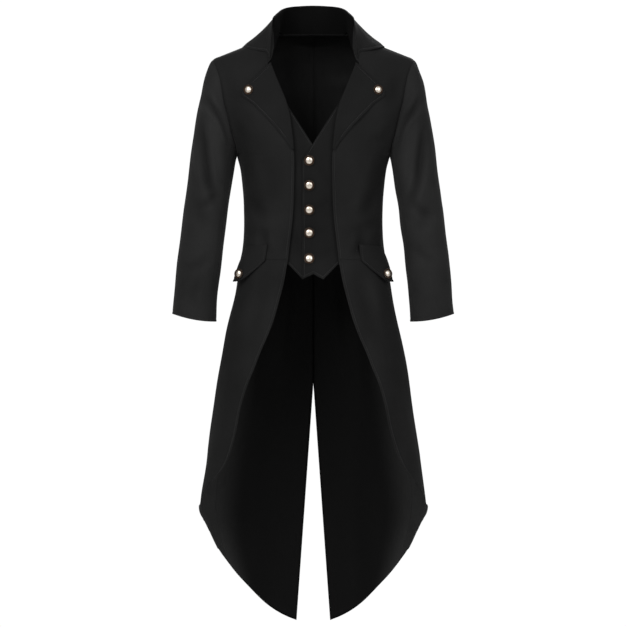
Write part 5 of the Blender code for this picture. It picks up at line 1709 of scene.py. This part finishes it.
def button_piece(name, node):
    """Domed metal button: its section turned about its own axis, on the place and size of its node."""
    base, axis, radius, rise = button_place(node)
    section, tarnish = button_section()
    radii, heights = section[:, 0] * radius, section[:, 1] * rise
    around = np.linspace(0, 2 * math.pi, BUTTON_SIDES, endpoint=False)
    side_x = np.array(Vector(axis).orthogonal().normalized())
    side_y = np.cross(axis, side_x)
    spoke = np.cos(around)[:, None] * side_x + np.sin(around)[:, None] * side_y
    rings = base + heights[1:-1, None, None] * axis + radii[1:-1, None, None] * spoke[None]
    count = len(radii) - 2
    points = np.concatenate([rings.reshape(-1, 3), [base], [base + axis * heights[-1]]])
    ring = np.arange(BUTTON_SIDES)
    after = (ring + 1) % BUTTON_SIDES
    strips = np.arange(count - 1)[:, None] * BUTTON_SIDES
    above = strips + BUTTON_SIDES
    quads = np.stack([strips + ring, strips + after, above + after, above + ring], axis=2)
    faces = quads.reshape(-1, 4).tolist()
    last = (count - 1) * BUTTON_SIDES
    foot = last + BUTTON_SIDES
    faces += [(foot, after[step], ring[step]) for step in ring]
    faces += [(foot + 1, last + ring[step], last + after[step]) for step in ring]
    shade = np.concatenate([np.repeat(tarnish[1:-1], BUTTON_SIDES), [tarnish[0], tarnish[-1]]])
    piece = new_piece(name, points, faces, (cloth_of("pale_brass"),), "tarnish", shade)
    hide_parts(node)


def stitching_pieces():
    """Every noted row of stitches, joined into one piece for each group and side."""
    sizes = bpy.context.scene.tailcoat_sizes
    flip = {"left": np.array([1.0, 1.0, 1.0]), "right": np.array([-1.0, 1.0, 1.0])}
    groups = {}
    for group, side, line, out, trim in STITCHES:
        made = sew(line, out, trim, sizes.stitch_pitch / MM, sizes.thread_width / MM / 2)
        groups.setdefault((group, side), []).append(made)
    for (group, side), rows in groups.items():
        points, faces, offset = [], [], 0
        for row_points, row_faces in rows:
            points.append(row_points * flip[side])
            faces.append((row_faces if side == "left" else row_faces[:, ::-1]) + offset)
            offset += len(row_points)
        points, faces = np.concatenate(points) * MM, np.concatenate(faces).tolist()
        piece = new_piece(f"stitches_{group}_{side}", points, faces, (cloth_of("thread"),))


def add_light(light):
    """Square soft light, turned towards a place on the coat."""
    lamp = bpy.data.lights.new(light.name, "AREA")
    lamp.shape = "SQUARE"
    lamp.size = light.size
    lamp.energy = light.power
    body = bpy.data.objects.new(light.name, lamp)
    body.location = light.place
    body.rotation_euler = (Vector(light.aim) - Vector(light.place)).to_track_quat("-Z", "Y").to_euler()
    bpy.context.scene.collection.objects.link(body)


class TailcoatSizes(bpy.types.PropertyGroup):
    """Sizes of the finer form that a user may change."""

    crease_strength: FloatProperty(
        name="Creases", description="Depth of the creases, as a share of the hand-set depths",
        default=1.0, min=0.0, max=2.0, subtype="FACTOR",
    )
    ripple_height: FloatProperty(
        name="Ripples", description="Height of the soft uneven waves in the cloth",
        default=0.0011, min=0.0, unit="LENGTH",
    )
    seam_depth: FloatProperty(
        name="Seam depth", description="How far the cloth dips into a seam or a row of stitches",
        default=0.0009, min=0.0, unit="LENGTH",
    )
    stitch_pitch: FloatProperty(
        name="Stitch pitch", description="Distance from one stitch to the next",
        default=0.0042, min=0.001, unit="LENGTH",
    )
    thread_width: FloatProperty(
        name="Thread width", description="Thickness of the sewing thread",
        default=0.0009, min=0.0001, unit="LENGTH",
    )
    seed: IntProperty(name="Seed", description="Start of the random waves in the cloth", default=11, min=0)


def colour_property(label, finish, text):
    return FloatVectorProperty(
        name=label, description=text, default=linear(FINISHES[finish].hex), subtype="COLOR", size=3,
        min=0.0, max=1.0,
    )


class TailcoatColours(bpy.types.PropertyGroup):
    """Colours of each finish."""

    wool: colour_property("Body wool", "wool", "Colour of the body, collar, lapels and tails")
    # Painted light: the sleeves' wool is paler than the body's
    sleeve_wool: colour_property("Sleeve wool", "sleeve_wool", "Colour of the sleeves")
    waistcoat_wool: colour_property("Waistcoat wool", "waistcoat_wool", "Colour of the false waistcoat")
    lining: colour_property("Back lining", "lining", "Colour of the satin inside the back and sleeves")
    # Painted shade: the tails' lining is darker than the back's
    tail_lining: colour_property("Tail lining", "tail_lining", "Colour of the satin inside the tails")
    # Painted light: the facing is paler than the body wool, and the tails' lining takes its tone near its
    # edge
    facing: colour_property("Facing", "facing", "Colour of the wool strip inside the tails")
    # Painted shade: the felted cloth inside the collar is near black
    melton: colour_property("Collar melton", "melton", "Colour of the felted cloth inside the collar")
    # Painted sheen: the thread is paler than the cloth
    thread: colour_property("Thread", "thread", "Colour of the topstitching")
    pale_brass: colour_property("Buttons", "pale_brass", "Colour of the buttons where they are rubbed bright")
    tarnish: colour_property("Tarnish", "tarnish", "Colour of the buttons in their grooves")
    studio: colour_property("Floor", "studio", "Colour of the studio floor")


class TAILCOAT_OT_stage(bpy.types.Operator):
    """Set up the pale studio, its soft lights and the camera"""

    bl_idname = "tailcoat.stage"
    bl_label = "Studio"

    def execute(self, context):
        colours = context.scene.tailcoat_colours
        turn = np.linspace(0, 2 * math.pi, FLOOR_SIDES, endpoint=False)
        rim = np.stack([FLOOR_RADIUS * np.cos(turn), FLOOR_RADIUS * np.sin(turn), 0 * turn + FLOOR_Z], axis=1)
        mesh = bpy.data.meshes.new("floor")
        mesh.from_pydata(rim.tolist(), [], [list(range(len(rim)))])
        mesh.materials.append(studio_floor("pale floor", colours.studio, FINISHES["studio"].roughness))
        floor = bpy.data.objects.new("floor", mesh)
        context.scene.collection.objects.link(floor)
        context.scene.world = white_room("white room", WORLD_STRENGTH)
        for light in LIGHTS:
            add_light(light)
        lens = bpy.data.cameras.new("camera")
        lens.sensor_width = SENSOR_WIDTH
        lens.lens = SENSOR_WIDTH * CAMERA_DISTANCE / (PHOTO_PIXELS * PIXEL_SIZE)
        lens.clip_end = SIGHT_LIMIT
        camera = bpy.data.objects.new("camera", lens)
        camera.location = (VIEW_CENTRE[0], -CAMERA_DISTANCE, VIEW_CENTRE[1])
        camera.rotation_euler = (math.pi / 2, 0, 0)
        context.scene.collection.objects.link(camera)
        context.scene.camera = camera
        context.scene.view_settings.view_transform = "Standard"
        return {"FINISHED"}


class TAILCOAT_OT_bodice(bpy.types.Operator):
    """Sew the fronts, the backs and the back lining"""

    bl_idname = "tailcoat.bodice"
    bl_label = "Fronts and backs"

    def execute(self, context):
        for side in SIDES:
            bodice_pieces(side)
        return {"FINISHED"}


class TAILCOAT_OT_sleeves(bpy.types.Operator):
    """Sew the two-piece sleeves"""

    bl_idname = "tailcoat.sleeves"
    bl_label = "Sleeves"

    def execute(self, context):
        for side in SIDES:
            sleeve_pieces(side)
        return {"FINISHED"}


class TAILCOAT_OT_tails(bpy.types.Operator):
    """Sew the tails and their lining"""

    bl_idname = "tailcoat.tails"
    bl_label = "Tails"

    def execute(self, context):
        for side in SIDES:
            skirt_pieces(side)
        return {"FINISHED"}


class TAILCOAT_OT_collar(bpy.types.Operator):
    """Sew the collar"""

    bl_idname = "tailcoat.collar"
    bl_label = "Collar"

    def execute(self, context):
        collar_piece()
        return {"FINISHED"}


class TAILCOAT_OT_lapels(bpy.types.Operator):
    """Roll the lapels back onto the fronts"""

    bl_idname = "tailcoat.lapels"
    bl_label = "Lapels"

    def execute(self, context):
        for side in SIDES:
            lapel_piece(side)
        return {"FINISHED"}


class TAILCOAT_OT_waistcoat(bpy.types.Operator):
    """Sew the two fronts of the false waistcoat"""

    bl_idname = "tailcoat.waistcoat"
    bl_label = "Waistcoat"

    def execute(self, context):
        for side in SIDES:
            vest_piece(side)
        return {"FINISHED"}


class TAILCOAT_OT_flaps(bpy.types.Operator):
    """Sew the pocket flaps"""

    bl_idname = "tailcoat.flaps"
    bl_label = "Pocket flaps"

    def execute(self, context):
        for side in SIDES:
            flap_piece(side)
        return {"FINISHED"}


class TAILCOAT_OT_buttons(bpy.types.Operator):
    """Turn every button"""

    bl_idname = "tailcoat.buttons"
    bl_label = "Buttons"

    def execute(self, context):
        nodes = [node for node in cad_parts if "_button_" in node]
        if not nodes:
            self.report({"ERROR"}, "the frame has no buttons")
            raise RuntimeError("the frame has no buttons")
        for node in nodes:
            button_piece(f"dome_{node}", node)
        return {"FINISHED"}


class TAILCOAT_OT_stitching(bpy.types.Operator):
    """Sew the rows of topstitching noted while the cloth was made"""

    bl_idname = "tailcoat.stitching"
    bl_label = "Topstitching"

    def execute(self, context):
        if not STITCHES:
            raise RuntimeError("make the cloth before its stitching")
        stitching_pieces()
        return {"FINISHED"}


class TAILCOAT_PT_panel(bpy.types.Panel):
    """Sidebar panel with the coat's sizes, colours and steps"""

    bl_idname = "TAILCOAT_PT_panel"
    bl_label = "Tailcoat"
    bl_space_type = "VIEW_3D"
    bl_region_type = "UI"
    bl_category = "Tailcoat"

    def draw(self, context):
        layout = self.layout
        for group in (context.scene.tailcoat_sizes, context.scene.tailcoat_colours):
            box = layout.box()
            for name in type(group).__annotations__:
                box.prop(group, name)
        for step in STEPS:
            layout.operator(step.bl_idname)


STEPS = (
    TAILCOAT_OT_stage, TAILCOAT_OT_bodice, TAILCOAT_OT_sleeves, TAILCOAT_OT_tails, TAILCOAT_OT_collar,
    TAILCOAT_OT_lapels, TAILCOAT_OT_waistcoat, TAILCOAT_OT_flaps, TAILCOAT_OT_buttons,
    TAILCOAT_OT_stitching,
)
CLASSES = (TailcoatSizes, TailcoatColours) + STEPS + (TAILCOAT_PT_panel,)


def register():
    for item in CLASSES:
        bpy.utils.register_class(item)
    bpy.types.Scene.tailcoat_sizes = PointerProperty(type=TailcoatSizes)
    bpy.types.Scene.tailcoat_colours = PointerProperty(type=TailcoatColours)


def unregister():
    del bpy.types.Scene.tailcoat_colours
    del bpy.types.Scene.tailcoat_sizes
    for item in reversed(CLASSES):
        bpy.utils.unregister_class(item)


def main():
    register()
    for step in STEPS:
        area, name = step.bl_idname.split(".")
        getattr(getattr(bpy.ops, area), name)()


if __name__ == "__main__":
    main()
